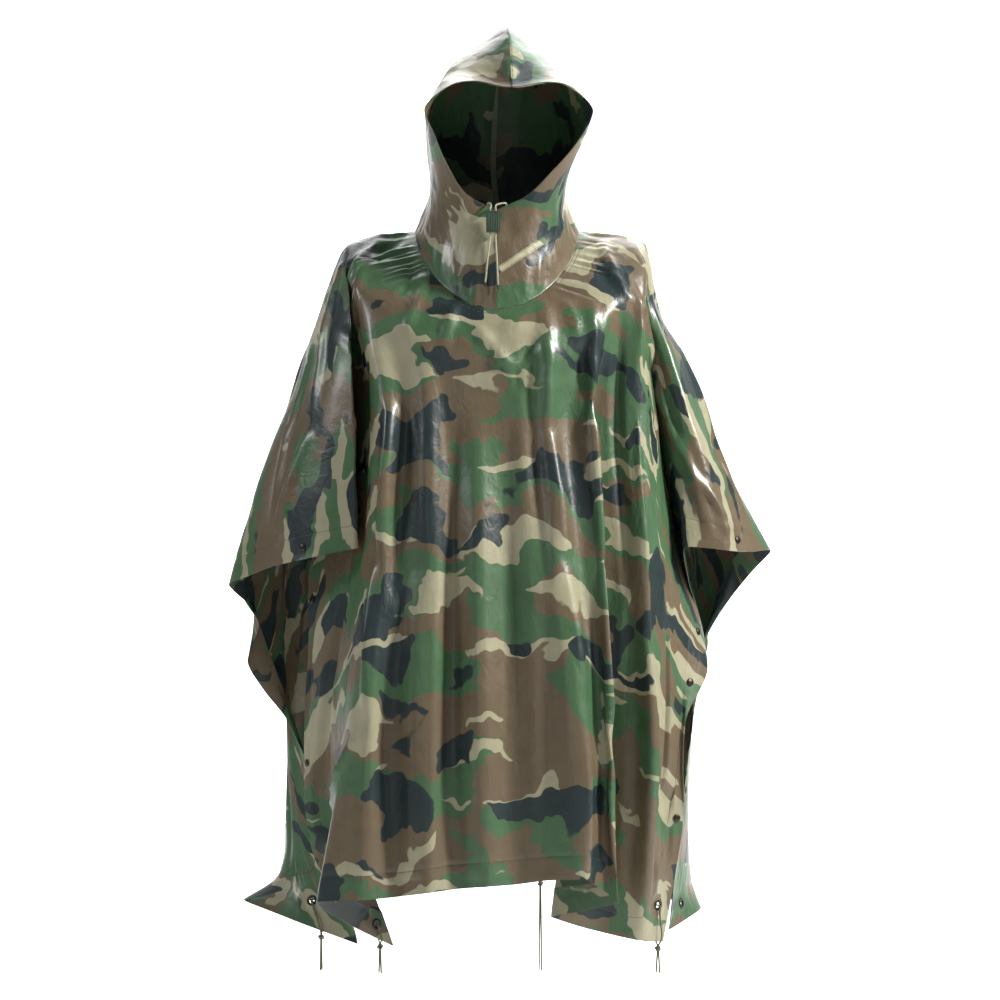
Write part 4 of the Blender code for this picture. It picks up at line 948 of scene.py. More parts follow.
def ripstop(name, map_name, shift=(0, 0, 0), tone=1.0, roughness=0.40, coat=0.22, stitches=()):
    """Printed ripstop. Each stitch row is a UV map and the distance from that map's line."""
    made, nodes, links, shader = new_material(name)
    tree = made.node_tree
    colour, base = woodland(tree, map_name, shift)
    mottle = noise_node(tree, mapped(tree, base, (40, 40, 1)), 1.0, 2.0)
    toned = tree.nodes.new("ShaderNodeVectorMath")
    toned.operation = "SCALE"
    links.new(colour, toned.inputs[0])
    links.new(map_range(tree, mottle, to_low=0.86 * tone, to_high=1.14 * tone), toned.inputs["Scale"])
    final = toned.outputs[0]

    ribs = None
    for way in parts_of(tree, base)[:2]:
        place = math_node(tree, "FRACT", math_node(tree, "MULTIPLY", way, 1 / RIPSTOP_PITCH))
        off = math_node(tree, "ABSOLUTE", math_node(tree, "SUBTRACT", place, 0.5))
        rib = math_node(tree, "LESS_THAN", off, RIB_HALF_SHARE)
        ribs = rib if ribs is None else math_node(tree, "MAXIMUM", ribs, rib)
    weave = nodes.new("ShaderNodeTexWave")
    weave.inputs["Scale"].default_value = 1
    weave.inputs["Distortion"].default_value = 0.4
    links.new(mapped(tree, base, (420, 420, 1), (0, 0, 0), 0.785), weave.inputs["Vector"])
    facets = noise_node(tree, mapped(tree, base, (60, 34, 1), (3, 1, 4)), 1.0, 2.5, 0.55, 0.6)
    crumple = noise_node(tree, mapped(tree, base, (150, 110, 1), (5, 9, 2)), 1.0, 2.0, 0.6, 0.4)

    woven = math_node(tree, "ADD", ribs, math_node(tree, "MULTIPLY", weave.outputs["Fac"], 0.4))
    normal = bump(tree, facets, 0.6, 2.4 * MM)
    normal = bump(tree, crumple, 0.22, 0.7 * MM, normal)
    normal = bump(tree, woven, 0.12, 0.2 * MM, normal)

    if stitches:
        thread = None
        for edge_map, row in stitches:
            along, off = parts_of(tree, uv_map(tree, edge_map))[:2]
            dash = math_node(tree, "FRACT", math_node(tree, "MULTIPLY", along, 1 / STITCH_PITCH))
            dash = math_node(tree, "LESS_THAN", dash, STITCH_SHARE)
            off = math_node(tree, "ABSOLUTE", math_node(tree, "SUBTRACT", off, row))
            line = math_node(tree, "MULTIPLY", dash, math_node(tree, "LESS_THAN", off, THREAD_HALF_WIDTH))
            thread = line if thread is None else math_node(tree, "MAXIMUM", thread, line)
        final = mixed(tree, thread, final, THREAD)
        normal = bump(tree, thread, 0.6, 0.5 * MM, normal)
    links.new(final, shader.inputs["Base Color"])
    links.new(normal, shader.inputs["Normal"])
    links.new(map_range(tree, mottle, to_low=roughness - 0.06, to_high=roughness + 0.10),
              shader.inputs["Roughness"])
    shader.inputs["Specular IOR Level"].default_value = 0.38
    shader.inputs["Coat Weight"].default_value = coat
    shader.inputs["Coat Roughness"].default_value = 0.22
    return made


HEM_STITCH = ("edge", 0.0345)
NECK_STITCHES = (("neck", 0.0022), ("neck", 0.0075))
outside_print = ripstop("ripstop_outside", "cut", stitches=(HEM_STITCH, *NECK_STITCHES))
# The inside is printed at tone 0.8, darker than the outside: partly the duller print on the reverse of the
# cloth, partly painted shade of the inside.
inside_print = ripstop("ripstop_inside", "cut", tone=0.8, roughness=0.5, coat=0.1,
                       stitches=(HEM_STITCH,))
turned_print = ripstop("ripstop_turned_up", "cut", (2.3, 1.4, 0), tone=0.95, stitches=(HEM_STITCH,))
hood_print = ripstop("ripstop_hood", "cut", (4.1, 2.7, 0),
                     stitches=(("edge", 0.0018), ("edge", 0.0205), ("middle", 0.0032)))
hood_inside = ripstop("ripstop_hood_inside", "cut", (4.1, 2.7, 0), tone=1.0, roughness=0.5,
                      coat=0.1)
casing_print = ripstop("ripstop_casing", "cut", (6.6, 0.9, 0), tone=1.1,
                       stitches=(("edge", 0.0205),))
print("cloth finishes", [m.name for m in bpy.data.materials if m.name.startswith("ripstop")])


# %% [markdown]
# ## The panels
# Each panel is a closed wall around its grid: an outer and an inner layer, joined at the rims.
# The layers carry the grid's own normals, so the shading runs over the shoulders without a line,
# where the two panels meet.

# %% Build a wall round a grid
def add_piece(name, mesh):
    """A new object with a mesh, in the scene."""
    piece = bpy.data.objects.new(name, mesh)
    bpy.context.scene.collection.objects.link(piece)
    return piece


def wall_piece(name, outer, inner, normals, maps, finishes, slots, holes=()):
    """A closed thin wall. `slots` are the finish numbers of the outer and inner squares, and
    each hole is a place, a normal and a radius, cut round through both layers."""
    columns, rows = outer.shape[:2]
    vertices = np.concatenate([outer.reshape(-1, 3), inner.reshape(-1, 3)])
    ids = np.arange(columns * rows).reshape(columns, rows)
    a, b, c, d = ids[:-1, :-1], ids[:-1, 1:], ids[1:, 1:], ids[1:, :-1]
    lift = columns * rows
    squares = np.stack([a, b, c, d], axis=2).reshape(-1, 4)
    kept = np.ones(len(squares), bool)
    hole_rims = []
    for place, way, radius in holes:
        middle = (outer + inner).reshape(-1, 3) / 2 - place
        level = middle - (middle @ way)[:, None] * way
        reach = np.linalg.norm(level, axis=1)
        reach[abs(middle @ way) > 6 * MM] = 1.0
        gone = reach[squares].mean(axis=1) < radius
        kept &= ~gone
        edges = np.concatenate([squares[gone][:, [k, (k + 1) % 4]] for k in range(4)])
        names = {}
        for start, end in edges:
            names.setdefault(tuple(sorted((start, end))), []).append((start, end))
        rim = np.array([pair[0] for pair in names.values() if len(pair) == 1])
        hole_rims.append(np.stack([rim[:, 0], rim[:, 1], rim[:, 1] + lift, rim[:, 0] + lift], axis=1))
        for point in np.unique(rim):
            vertices[[point, point + lift]] += level[point] * (radius / reach[point] - 1)
    squares = squares[kept]
    outer_faces = squares
    inner_faces = squares[:, ::-1] + lift
    rims = hole_rims
    for j in (0, rows - 1):
        line = np.stack([ids[:-1, j], ids[1:, j], ids[1:, j] + lift, ids[:-1, j] + lift], axis=1)
        rims.append(line if j == 0 else line[:, ::-1])
    for i in (0, columns - 1):
        line = np.stack([ids[i, :-1], ids[i, :-1] + lift, ids[i, 1:] + lift, ids[i, 1:]], axis=1)
        rims.append(line if i == 0 else line[:, ::-1])
    rim_faces = np.concatenate(rims)
    faces = np.concatenate([outer_faces, inner_faces, rim_faces])
    mesh = bpy.data.meshes.new(name)
    mesh.from_pydata(vertices.tolist(), [], faces.tolist())
    for finish in finishes:
        mesh.materials.append(finish)
    mesh.polygons.foreach_set("material_index",
                              np.concatenate([slots[0].ravel()[kept], slots[1].ravel()[kept],
                                              np.zeros(len(rim_faces), int)]))
    corners = faces.ravel() % lift
    for map_name, values in maps.items():
        layer = mesh.uv_layers.new(name=map_name)
        layer.data.foreach_set("uv", values.reshape(-1, 2)[corners].astype(np.float32).ravel())
    mesh.shade_smooth()
    flat_normals = normals.reshape(-1, 3)
    if outward_sign(vertices, outer_faces, flat_normals) < 0:
        mesh.flip_normals()
    order = np.empty(len(mesh.loops), int)
    mesh.loops.foreach_get("vertex_index", order)
    in_layer = np.concatenate([np.ones(outer_faces.size), -np.ones(inner_faces.size),
                               np.zeros(rim_faces.size)])
    loops = flat_normals[order % lift] * in_layer[:, None]
    mesh.normals_split_custom_set(loops.tolist())
    return add_piece(name, mesh)


def outward_sign(vertices, faces, normals):
    """1 where the faces' own turning agrees with the normals, else -1."""
    a, b, c = (vertices[faces[:, k]] for k in (0, 1, 2))
    own = np.cross(b - a, c - a)
    return np.sign((own * normals[faces[:, 0]]).sum())


def panel_slots(reach):
    """Outer layer 0, inner layer 1, and the turned-up hem on the inner layer 2."""
    outer = np.zeros((reach.shape[0] - 1, reach.shape[1] - 1), int)
    return outer, np.where(reach[:-1, 1:] < HEM_BAND - 0.1 * MM, 2, 1)


outward = normals * facing
print("front faces", outward[LEFT_ARM_FINE // 2, 40].round(2))


# %% Front and back cloth
def panel_piece(name, columns, node, holes):
    """One panel from a run of columns of the fine ring."""
    take = np.array(columns) % len(surface)
    points, ways, places, reach = surface[take], outward[take], flat[take], from_edge[take]
    outer = points + ways * CLOTH / 2
    thick = np.where(reach < HEM_BAND + 0.5 * MM, CLOTH / 2 + 0.7 * MM, CLOTH / 2)
    inner = points - ways * thick[..., None]
    run = np.concatenate([along_edge, [along_edge[-1] + 0.01]])[np.array(columns)]
    run = np.repeat(run[:, None], points.shape[1], axis=1)
    maps = {"cut": places, "edge": np.stack([run, reach], axis=2),
            "neck": np.stack([run * 0.2, from_neck[take]], axis=2)}
    piece = wall_piece(name, outer, inner, ways, maps, (outside_print, inside_print, turned_print),
                       panel_slots(reach), holes)
    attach(piece, "root")
    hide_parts(node)
    print(name, len(piece.data.polygons), "faces")
    return piece


HOLE = 5.0 * MM
front_holes = [(s.place, s.normal, HOLE) for k, s in eyelet_spots.items() if k.startswith("front")]
back_holes = [(s.place, s.normal, HOLE) for k, s in eyelet_spots.items() if k.startswith("back")]
front_cloth = panel_piece("front_cloth", range(0, LEFT_ARM_FINE + 1), "front_panel", front_holes)
back_cloth = panel_piece("back_cloth", range(LEFT_ARM_FINE, len(surface) + 1), "back_panel",
                         back_holes)

# %% [markdown]
# ## The hood
# Two mirrored halves are sewn along the crown and the nape, and turned in round the face to hold
# the drawcord. The halves share one net of lines. The seam is rounded over, because the sewn
# allowance inside holds it up, and it puckers where the thread pulls.

# %% One half of the hood, finely
COLUMNS_A_LINE = 13
HOOD_COLUMNS, BRIM_COLUMN = 12 * COLUMNS_A_LINE + 1, 7 * COLUMNS_A_LINE
CREST_ROUNDS, CREST_COLUMNS, CREST_WIDTH, CREST_BASE = 34, 38, 38 * MM, 60 * MM
CROWN_LIFT, BRIM_DROOP, BRIM_FORWARD, BRIM_REACH = 8 * MM, 19 * MM, 1.5 * MM, 95 * MM
FACE_BAND = (20, 18, 15.5, 13, 10.5, 8, 5.5, 3.5, 1.5, 0)


def hood_lines_net():
    """The net of one hood half, from its table of lines."""
    lines = []
    for line in HOOD_LINES:
        seam = neck_place(line.turn) - neck_frame(line.turn)[1] * GAP / 2
        lines.append([seam, *[np.array(place) * MM for place in line[2:]]])
    return ClothNet([line.name for line in HOOD_LINES], [line.turn for line in HOOD_LINES], lines,
                    ("brim_middle",), -1, CASING_WIDTH)


def hood_posture(points):
    """Turn and lean the hood above the collar."""
    rise = np.clip(points[..., 2] / HOOD_POSTURE_HEIGHT, 0, 1)
    rise = smooth_step(rise)
    turned = points.copy()
    cosine, sine = np.cos(HOOD_TURN * rise), np.sin(HOOD_TURN * rise)
    turned[..., 0] = points[..., 0] * cosine - points[..., 1] * sine
    turned[..., 0] += points[..., 2] * math.tan(HOOD_LEAN) * rise
    turned[..., 1] = points[..., 0] * sine + points[..., 1] * cosine
    return turned


def round_over(grid, rounds):
    """Round the crest along the middle seam, as if the mirrored half were joined on."""
    near = np.clip(1 - grid[..., 0] / CREST_WIDTH, 0, 1) * np.clip(grid[..., 2] / CREST_BASE, 0, 1)
    weight = 0.5 * near[..., None] ** 0.5
    for _ in range(rounds):
        beyond = grid[BRIM_COLUMN:, -2:-1] * np.array([-1, 1, 1])
        part = np.concatenate([grid[BRIM_COLUMN:], beyond], axis=1)
        even = (part[:, :-2] + part[:, 2:]) / 2
        keep = weight[BRIM_COLUMN:, 1:]
        grid[BRIM_COLUMN:, 1:] += keep * (even - grid[BRIM_COLUMN:, 1:])
        ghost = grid[-2:-1] * np.array([-1, 1, 1])
        even = (grid[-2:-1] + ghost) / 2
        grid[-1:, 1:-1] += weight[-1:, 1:-1] * (even - grid[-1:])[:, 1:-1]
        even = (grid[-CREST_COLUMNS - 2:-2] + grid[-CREST_COLUMNS:]) / 2
        back = slice(-CREST_COLUMNS - 1, -1)
        grid[back, 1:-1] += weight[back, 1:-1] * (even - grid[back])[:, 1:-1]
    return grid


hood_net = hood_lines_net()
hood_line_at = np.linspace(0, 12, HOOD_COLUMNS)
hood_turn_at = np.interp(hood_line_at, range(13), hood_net.turns)
hood_rows = list(np.linspace(0, 1, 60)) + [("end", reach * MM) for reach in FACE_BAND]
hood_shape, _ = hood_net.surface(hood_line_at, hood_rows)
hood_shape = round_over(hood_shape, CREST_ROUNDS)
hood_shape[..., 2] += CROWN_LIFT * np.clip((hood_shape[..., 2] - 200 * MM) / (90 * MM), 0, 1)
brim_tip = hood_shape[BRIM_COLUMN, -1].copy()
droop = smooth_step(np.clip(1 - np.linalg.norm(hood_shape - brim_tip, axis=2) / BRIM_REACH, 0, 1))
hood_shape[..., 2] -= BRIM_DROOP * droop
hood_shape[..., 1] -= BRIM_FORWARD * droop
coarse = hood_shape[::6, ::3]
guess = np.stack([np.repeat(arc_knots(coarse[:, 8])[:, None], coarse.shape[1], axis=1),
                  np.array([arc_knots(column) for column in coarse])], axis=2)
coarse_flat = press_flat(coarse, guess, 700, closed=False)
steps = np.arange(hood_shape.shape[1]) / 3
hood_flat = linear_finer(coarse_flat, False, [6] * (len(coarse) - 1), steps)
face_reach = np.array([arc_knots(column)[-1] - arc_knots(column) for column in hood_shape])
face_reach[BRIM_COLUMN + 1:] = 1.0
neck_reach = np.array([arc_knots(column) for column in hood_shape])
print("hood half", hood_shape.shape)


# %% Puckers, folds and unrest on the hood
def hood_heights(sign):
    """Small forms of one half: unrest, puckers at the middle seam, gathers over the neck."""
    height = 1.5 * MM * cloth_unrest(hood_flat, 21.3 + sign, 0.04, 1.6)
    height += 1.6 * MM * (0.22 - abs(cloth_unrest(hood_flat, 5.9 + sign, 0.026, 1.3)))
    crest = np.exp(-(hood_shape[..., 0] / (13 * MM)) ** 2) * (hood_shape[..., 2] > 170 * MM)
    for i in range(HOOD_COLUMNS):
        for j in range(hood_shape.shape[1]):
            if crest[i, j] > 0.02:
                place = hood_shape[i, j]
                height[i, j] += 1.5 * MM * crest[i, j] * noise.noise(
                    Vector((place[1] / 0.013, place[0] / 0.05, 2.0 + sign)))
    gather = np.exp(-((neck_reach - 26 * MM) / (20 * MM)) ** 2)
    waves = np.array([noise.noise(Vector((t / 5.5, 7.0 + sign, 1.0))) for t in hood_turn_at])
    height += 3.0 * MM * gather * waves[:, None]
    edge = np.clip(face_reach / (30 * MM), 0.25, 1)
    return height * edge * np.clip(neck_reach / (14 * MM), 0, 1)


def hood_half(sign):
    """One half with its outward normals, both before the hood turns."""
    grid = hood_shape.copy()
    ways = -grid_normals(grid)
    grid += ways * hood_heights(sign)[..., None]
    middle = hood_shape[..., 0] < 1e-6
    grid[..., 0] = np.maximum(grid[..., 0], GAP / 2)
    ways = -grid_normals(grid)
    ways[middle, 0] *= 0.001
    ways /= np.linalg.norm(ways, axis=2, keepdims=True) + 1e-12
    grid[..., 0] *= sign
    ways[..., 0] *= sign
    fade = np.clip(1 - neck_reach / (20 * MM), 0, 1)[..., None]
    shift = np.empty_like(grid)
    for i, turn in enumerate(hood_turn_at):
        seam, way = neck_seam(sign * turn, -GAP / 2)
        shift[i] = seam - grid[i, 0]
        ways[i, 0] = way
    grid += shift * fade
    return grid, ways


def posed(grid, ways, reach):
    """Posed points at a distance along the normals."""
    return hood_posture(grid + ways * (reach[..., None] if np.ndim(reach) else reach))


CASING_STARTS, CASING_WALL = {"right": 13, "left": 20}, 0.7 * MM
CASING_ROWS = len(FACE_BAND) + 1
hood_halves = {}
for side, sign in (("left", 1), ("right", -1)):
    grid, ways = hood_half(sign)
    middle_run = np.stack([neck_reach + hood_shape[..., 1], abs(grid[..., 0])], axis=2)
    middle_run[hood_shape[..., 2] < 20 * MM] = 1.0
    run = np.repeat(arc_knots(hood_shape[:, -1])[:, None], grid.shape[1], axis=1)
    maps = {"cut": hood_flat * np.array([sign, 1]), "edge": np.stack([run, face_reach], axis=2),
            "middle": middle_run}
    posed_ways = posed(grid, ways, 1 * MM) - posed(grid, ways, 0.0)
    posed_ways /= np.linalg.norm(posed_ways, axis=2, keepdims=True) + 1e-12
    slots = np.zeros((grid.shape[0] - 1, grid.shape[1] - 1), int)
    piece = wall_piece(f"hood_cloth_{side}", posed(grid, ways, CLOTH / 2),
                       posed(grid, ways, -CLOTH / 2), posed_ways, maps, (hood_print, hood_inside),
                       (slots, slots + 1))
    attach(piece, "root")
    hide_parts(f"hood_{side}")
    hood_halves[side] = grid, ways, maps

    start = CASING_STARTS[side]
    part = slice(start, BRIM_COLUMN + 1), slice(-CASING_ROWS, None)
    near, away = CLOTH / 2 + GAP, CLOTH / 2 + GAP + CASING_WALL
    slots = np.zeros((BRIM_COLUMN - start, CASING_ROWS - 1), int)
    casing = wall_piece(f"casing_cloth_{side}", posed(grid[part], ways[part], -near),
                        posed(grid[part], ways[part], -away), posed_ways[part],
                        {key: values[part] for key, values in maps.items()}, (casing_print,),
                        (slots, slots))
    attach(casing, "root")
    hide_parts(f"casing_{side}")
    print(side, len(piece.data.polygons), len(casing.data.polygons))

# %% [markdown]
# ## The overlap at the throat
# Below the face opening the two hood halves lap over each other, and the lap is sewn down twice.
# It shows as a narrow slanting band with a row of stitches along each side.

# %% Throat band
BAND_FROM, BAND_TO, BAND_WIDTH = (4 * MM, -92 * MM), (84 * MM, -36 * MM), 10 * MM
BAND_COLUMNS, BAND_LINES, BAND_STITCH_IN = 40, 6, 1.3 * MM


def on_hood(x, z):
    """Place and outward way on the wearer's left half, found from the nearest points."""
    grid, ways, _ = hood_halves["left"]
    points, normals_there = grid.reshape(-1, 3), ways.reshape(-1, 3)
    far = (points[:, 0] - x) ** 2 + (points[:, 2] - z) ** 2 + (points[:, 1] > -40 * MM)
    near = np.argsort(far)[:8]
    share = 1 / (far[near] + (1.5 * MM) ** 2)
    share /= share.sum()
    way = share @ normals_there[near]
    return (x, share @ points[near, 1], z), way / np.linalg.norm(way)


band_run = np.array(BAND_TO) - np.array(BAND_FROM)
band_across = np.array([band_run[1], -band_run[0]]) / np.linalg.norm(band_run)
band_grid, band_ways = np.empty((2, BAND_COLUMNS, BAND_LINES, 3))
band_map = np.empty((BAND_COLUMNS, BAND_LINES, 2))
for i, share in enumerate(np.linspace(0, 1, BAND_COLUMNS)):
    for j, side in enumerate(np.linspace(-0.5, 0.5, BAND_LINES)):
        x, z = np.array(BAND_FROM) + band_run * share + band_across * side * BAND_WIDTH
        band_grid[i, j], band_ways[i, j] = on_hood(x, z)
        band_map[i, j] = share * np.linalg.norm(band_run), (side + 0.5) * BAND_WIDTH
# Tone 1.25 prints the band lighter than the cloth round it: a painted highlight on the lap.
band_print = ripstop("ripstop_band", "cut", (3.3, 5.1, 0), tone=1.25,
                     stitches=(("edge", BAND_STITCH_IN), ("edge", BAND_WIDTH - BAND_STITCH_IN)))
band_slots = np.zeros((BAND_COLUMNS - 1, BAND_LINES - 1), int)
lift = CLOTH / 2 + 0.25 * MM
throat_band = wall_piece("throat_band", band_grid + band_ways * (lift + 0.5 * MM),
                         band_grid + band_ways * lift, band_ways, {"cut": band_map, "edge": band_map},
                         (band_print,), (band_slots, band_slots))
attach(throat_band, "root")
print("throat band", len(throat_band.data.polygons))

# %% [markdown]
# ## The tape inside the hood
# A narrow tape is bonded over the middle seam on the inside, which keeps water out of the needle
# holes. It runs from behind the casing over the crown and down the nape.

# %% Seam tape
TAPE_HALF_WIDTH, TAPE_WALL = 5 * MM, 0.4 * MM


def speckled_finish(name, fineness, detail, dark, light, roughness, limits=(0.0, 1.0), metallic=0.0):
    """Two colours mixed by a noise with so many specks to the metre, between two limits."""
    made, nodes, links, shader = new_material(name)
    tree = made.node_tree
    source = nodes.new("ShaderNodeTexCoord").outputs["Object"]
    speck = noise_node(tree, mapped(tree, source, (fineness,) * 3), 1.0, detail)
    links.new(mixed(tree, map_range(tree, speck, *limits), dark, light), shader.inputs["Base Color"])
    shader.inputs["Metallic"].default_value = metallic
    shader.inputs["Roughness"].default_value = roughness
    return made


sealing_tape = speckled_finish("sealing_tape", 90, 2.0, (0.10, 0.13, 0.085), (0.17, 0.20, 0.13), 0.42)
rails, rail_ways = [], []
for side in ("left", "right"):
    grid, ways, _ = hood_halves[side]
    seam = np.concatenate([grid[BRIM_COLUMN:, -1], grid[-1, -2:0:-1]])
    beside = np.concatenate([grid[BRIM_COLUMN:, -4], grid[-6, -2:0:-1]])
    way = np.concatenate([ways[BRIM_COLUMN:, -1], ways[-1, -2:0:-1]])
    toward = beside - seam
    toward *= TAPE_HALF_WIDTH / np.linalg.norm(toward, axis=1, keepdims=True)
    rails.append(seam + toward)
    rail_ways.append(way)
centre = (rails[0] + rails[1]) / 2
tape_grid = np.array([rails[1], (rails[1] + centre) / 2, centre, (rails[0] + centre) / 2, rails[0]])
tape_ways = np.repeat(((rail_ways[0] + rail_ways[1]) / 2)[None], 5, axis=0)
tape_ways[..., 0] = 0
tape_ways /= np.linalg.norm(tape_ways, axis=2, keepdims=True)
tape_run = np.stack(np.meshgrid(range(5), range(tape_grid.shape[1]), indexing="ij"), axis=2) * 1.0
tape_slots = np.zeros((4, tape_grid.shape[1] - 1), int)
near = CLOTH / 2 + GAP + 0.2 * MM
tape = wall_piece("seam_tape", posed(tape_grid, tape_ways, -near),
                  posed(tape_grid, tape_ways, -near - TAPE_WALL), tape_ways, {"cut": tape_run},
                  (sealing_tape,), (tape_slots, tape_slots))
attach(tape, "root")
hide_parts("hood_seam_tape")
print("tape", len(tape.data.polygons))

# %% [markdown]
# ## Cords
# The drawcord and the ties are braided nylon. A braid shows as two sets of slanting strands that
# cross, so its finish is drawn on a map that winds round the cord. The cut ends are sealed with a
# flame, which leaves them thin, dark and hard.

# %% Braided cord
DRAWCORD, TIE, BRAID_PITCH, CORD_STEP = 3.0 * MM, 2.6 * MM, 2.6 * MM, 1.2 * MM
SEALED = (0.012, 0.014, 0.010)


def cord_finish(name, dark, light):
    """Braid with painted shade in the grooves between its strands, and sealed tips."""
    made, nodes, links, shader = new_material(name)
    tree = made.node_tree
    round_it, along_it = parts_of(tree, uv_map(tree, "braid"))[:2]
    strands = []
    for slant in (1, -1):
        turned = math_node(tree, "MULTIPLY", round_it, 4 * slant)
        lengthwise = math_node(tree, "MULTIPLY", along_it, 1 / BRAID_PITCH)
        wave = math_node(tree, "MULTIPLY", math_node(tree, "ADD", turned, lengthwise), 2 * math.pi)
        strands.append(math_node(tree, "SINE", wave))
    braid = math_node(tree, "MAXIMUM", *strands)
    sealed = parts_of(tree, uv_map(tree, "sealed"))[0]
    # The colour darkens where the strand height is low: painted shade in the grooves between the strands.
    colour = mixed(tree, map_range(tree, braid, -0.6), dark, light)
    links.new(mixed(tree, sealed, colour, SEALED), shader.inputs["Base Color"])
    links.new(bump(tree, braid, 0.8, 0.4 * MM), shader.inputs["Normal"])
    shader.inputs["Roughness"].default_value = 0.68
    return made


def cord_mesh(name, path, diameter, finish, sealed=0.0, sides=14):
    """A round tube along a path. Its map winds round it, and a second one marks sealed tips."""
    path = np.array(path)
    ways = np.gradient(path, axis=0)
    ways /= np.linalg.norm(ways, axis=1, keepdims=True)
    across = np.cross(ways[0], [0.31, 0.87, 0.38])
    run = arc_knots(path)
    vertices = []
    for place, way, at in zip(path, ways, run):
        across = across - way * across.dot(way)
        across /= np.linalg.norm(across)
        other = np.cross(way, across)
        left = run[-1] - at
        radius = diameter / 2 * (1 if not sealed or left > sealed else 0.72 + 0.28 * left / sealed)
        for k in range(sides):
            angle = 2 * math.pi * k / sides
            vertices.append(place + radius * (math.cos(angle) * across + math.sin(angle) * other))
    vertices += [path[0], path[-1]]
    faces, winds, tips = [], [], []
    for i in range(len(path) - 1):
        for k in range(sides):
            here, there = i * sides, (i + 1) * sides
            after = (k + 1) % sides
            faces.append((here + k, here + after, there + after, there + k))
            winds += [(k / sides, run[i]), ((k + 1) / sides, run[i]),
                      ((k + 1) / sides, run[i + 1]), (k / sides, run[i + 1])]
            for at in (run[i], run[i], run[i + 1], run[i + 1]):
                tips.append((1.0 if sealed and run[-1] - at < sealed * 0.8 else 0.0, 0))
    last = (len(path) - 1) * sides
    for k in range(sides):
        after = (k + 1) % sides
        faces.append((after, k, len(vertices) - 2))
        faces.append((last + k, last + after, len(vertices) - 1))
        winds += [(0, 0)] * 6
        tips += [(0, 0)] * 3 + [(1.0 if sealed else 0.0, 0)] * 3
    mesh = bpy.data.meshes.new(name)
    mesh.from_pydata([tuple(v) for v in vertices], [], faces)
    for map_name, values in (("braid", winds), ("sealed", tips)):
        layer = mesh.uv_layers.new(name=map_name)
        layer.data.foreach_set("uv", np.array(values, np.float32).ravel())
    mesh.materials.append(finish)
    mesh.shade_smooth()
    return add_piece(name, mesh)


def smooth_path(route, step):
    """Even points on a smooth curve through a route."""
    route = np.array(route, float)
    knots = arc_knots(route)
    return smooth_curve(knots, route, np.linspace(0, knots[-1], max(int(knots[-1] / step), 12)))


olive_braid = cord_finish("olive_braid", (0.035, 0.042, 0.020), (0.16, 0.165, 0.085))
drawcord_braid = cord_finish("drawcord_braid", (0.09, 0.10, 0.055), (0.42, 0.42, 0.30))
print("cord finishes", olive_braid.name, drawcord_braid.name)

# %% Drawcord ends through the cord lock
LOCK_PLACE = (-6 * MM, -143.5 * MM, -20 * MM)
LOCK_WIDTH, LOCK_DEPTH, LOCK_HEIGHT, LOCK_HOLE_APART = 20 * MM, 9 * MM, 32 * MM, 8 * MM
DRAWCORD_TIPS = {"right": (-18 * MM, -152 * MM, -118 * MM), "left": (2 * MM, -152.5 * MM, -122 * MM)}
for end, sign in (("right", -1), ("left", 1)):
    tip = DRAWCORD_TIPS[end]
    x, y, z = LOCK_PLACE[0] + sign * LOCK_HOLE_APART / 2, LOCK_PLACE[1], LOCK_PLACE[2]
    route = [(sign * 15 * MM, -125.5 * MM, -3 * MM), (sign * 14.5 * MM, -123.6 * MM, 4 * MM),
             (sign * 14.2 * MM, -123.4 * MM, 7.5 * MM), (sign * 13.6 * MM, -125.8 * MM, 9.4 * MM),
             (sign * 12 * MM, -128.8 * MM, 9.4 * MM), (0.5 * x + sign * 5 * MM, -134 * MM, 8 * MM),
             (0.9 * x, -140.5 * MM, 4 * MM), (x, y, z + LOCK_HEIGHT / 2 + 3 * MM),
             (x, y, z + LOCK_HEIGHT / 2), (x, y, z - LOCK_HEIGHT / 2),
             (x, y, z - LOCK_HEIGHT / 2 - 3 * MM),
             (0.6 * x + 0.4 * tip[0], 0.6 * y + 0.4 * tip[1] - 1 * MM, 0.5 * (z + tip[2])), tip]
    path = smooth_path(route, CORD_STEP)
    piece = cord_mesh(f"drawcord_{end}_braid", path, DRAWCORD, drawcord_braid, sealed=9 * MM)
    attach(piece, "root")
    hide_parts(f"drawcord_{end}")
    print(end, round(float(arc_knots(path)[-1]) / MM), "mm")

# %% Ties through the eyelets, each held by a knot under the hem
KNOT_HEIGHT, KNOT_BELOW_HEM, TIE_SPREAD, EYELET_FLANGE = 8 * MM, 10 * MM, 2.0 * MM, 8.5 * MM


def overhand_knot(name, place, turn):
    """A small closed knot of tie cord that grips both strands."""
    path = []
    for k in range(97):
        t = 2 * math.pi * k / 96
        radius = (2.3 + 0.9 * math.cos(3 * t)) * MM
        path.append((radius * math.cos(2 * t + turn), radius * math.sin(2 * t + turn),
                     2.5 * MM * math.sin(3 * t)))
    return cord_mesh(name, np.array(path) * np.array([1.25, 1.25, 1.0]) + place, 2.3 * MM, olive_braid)


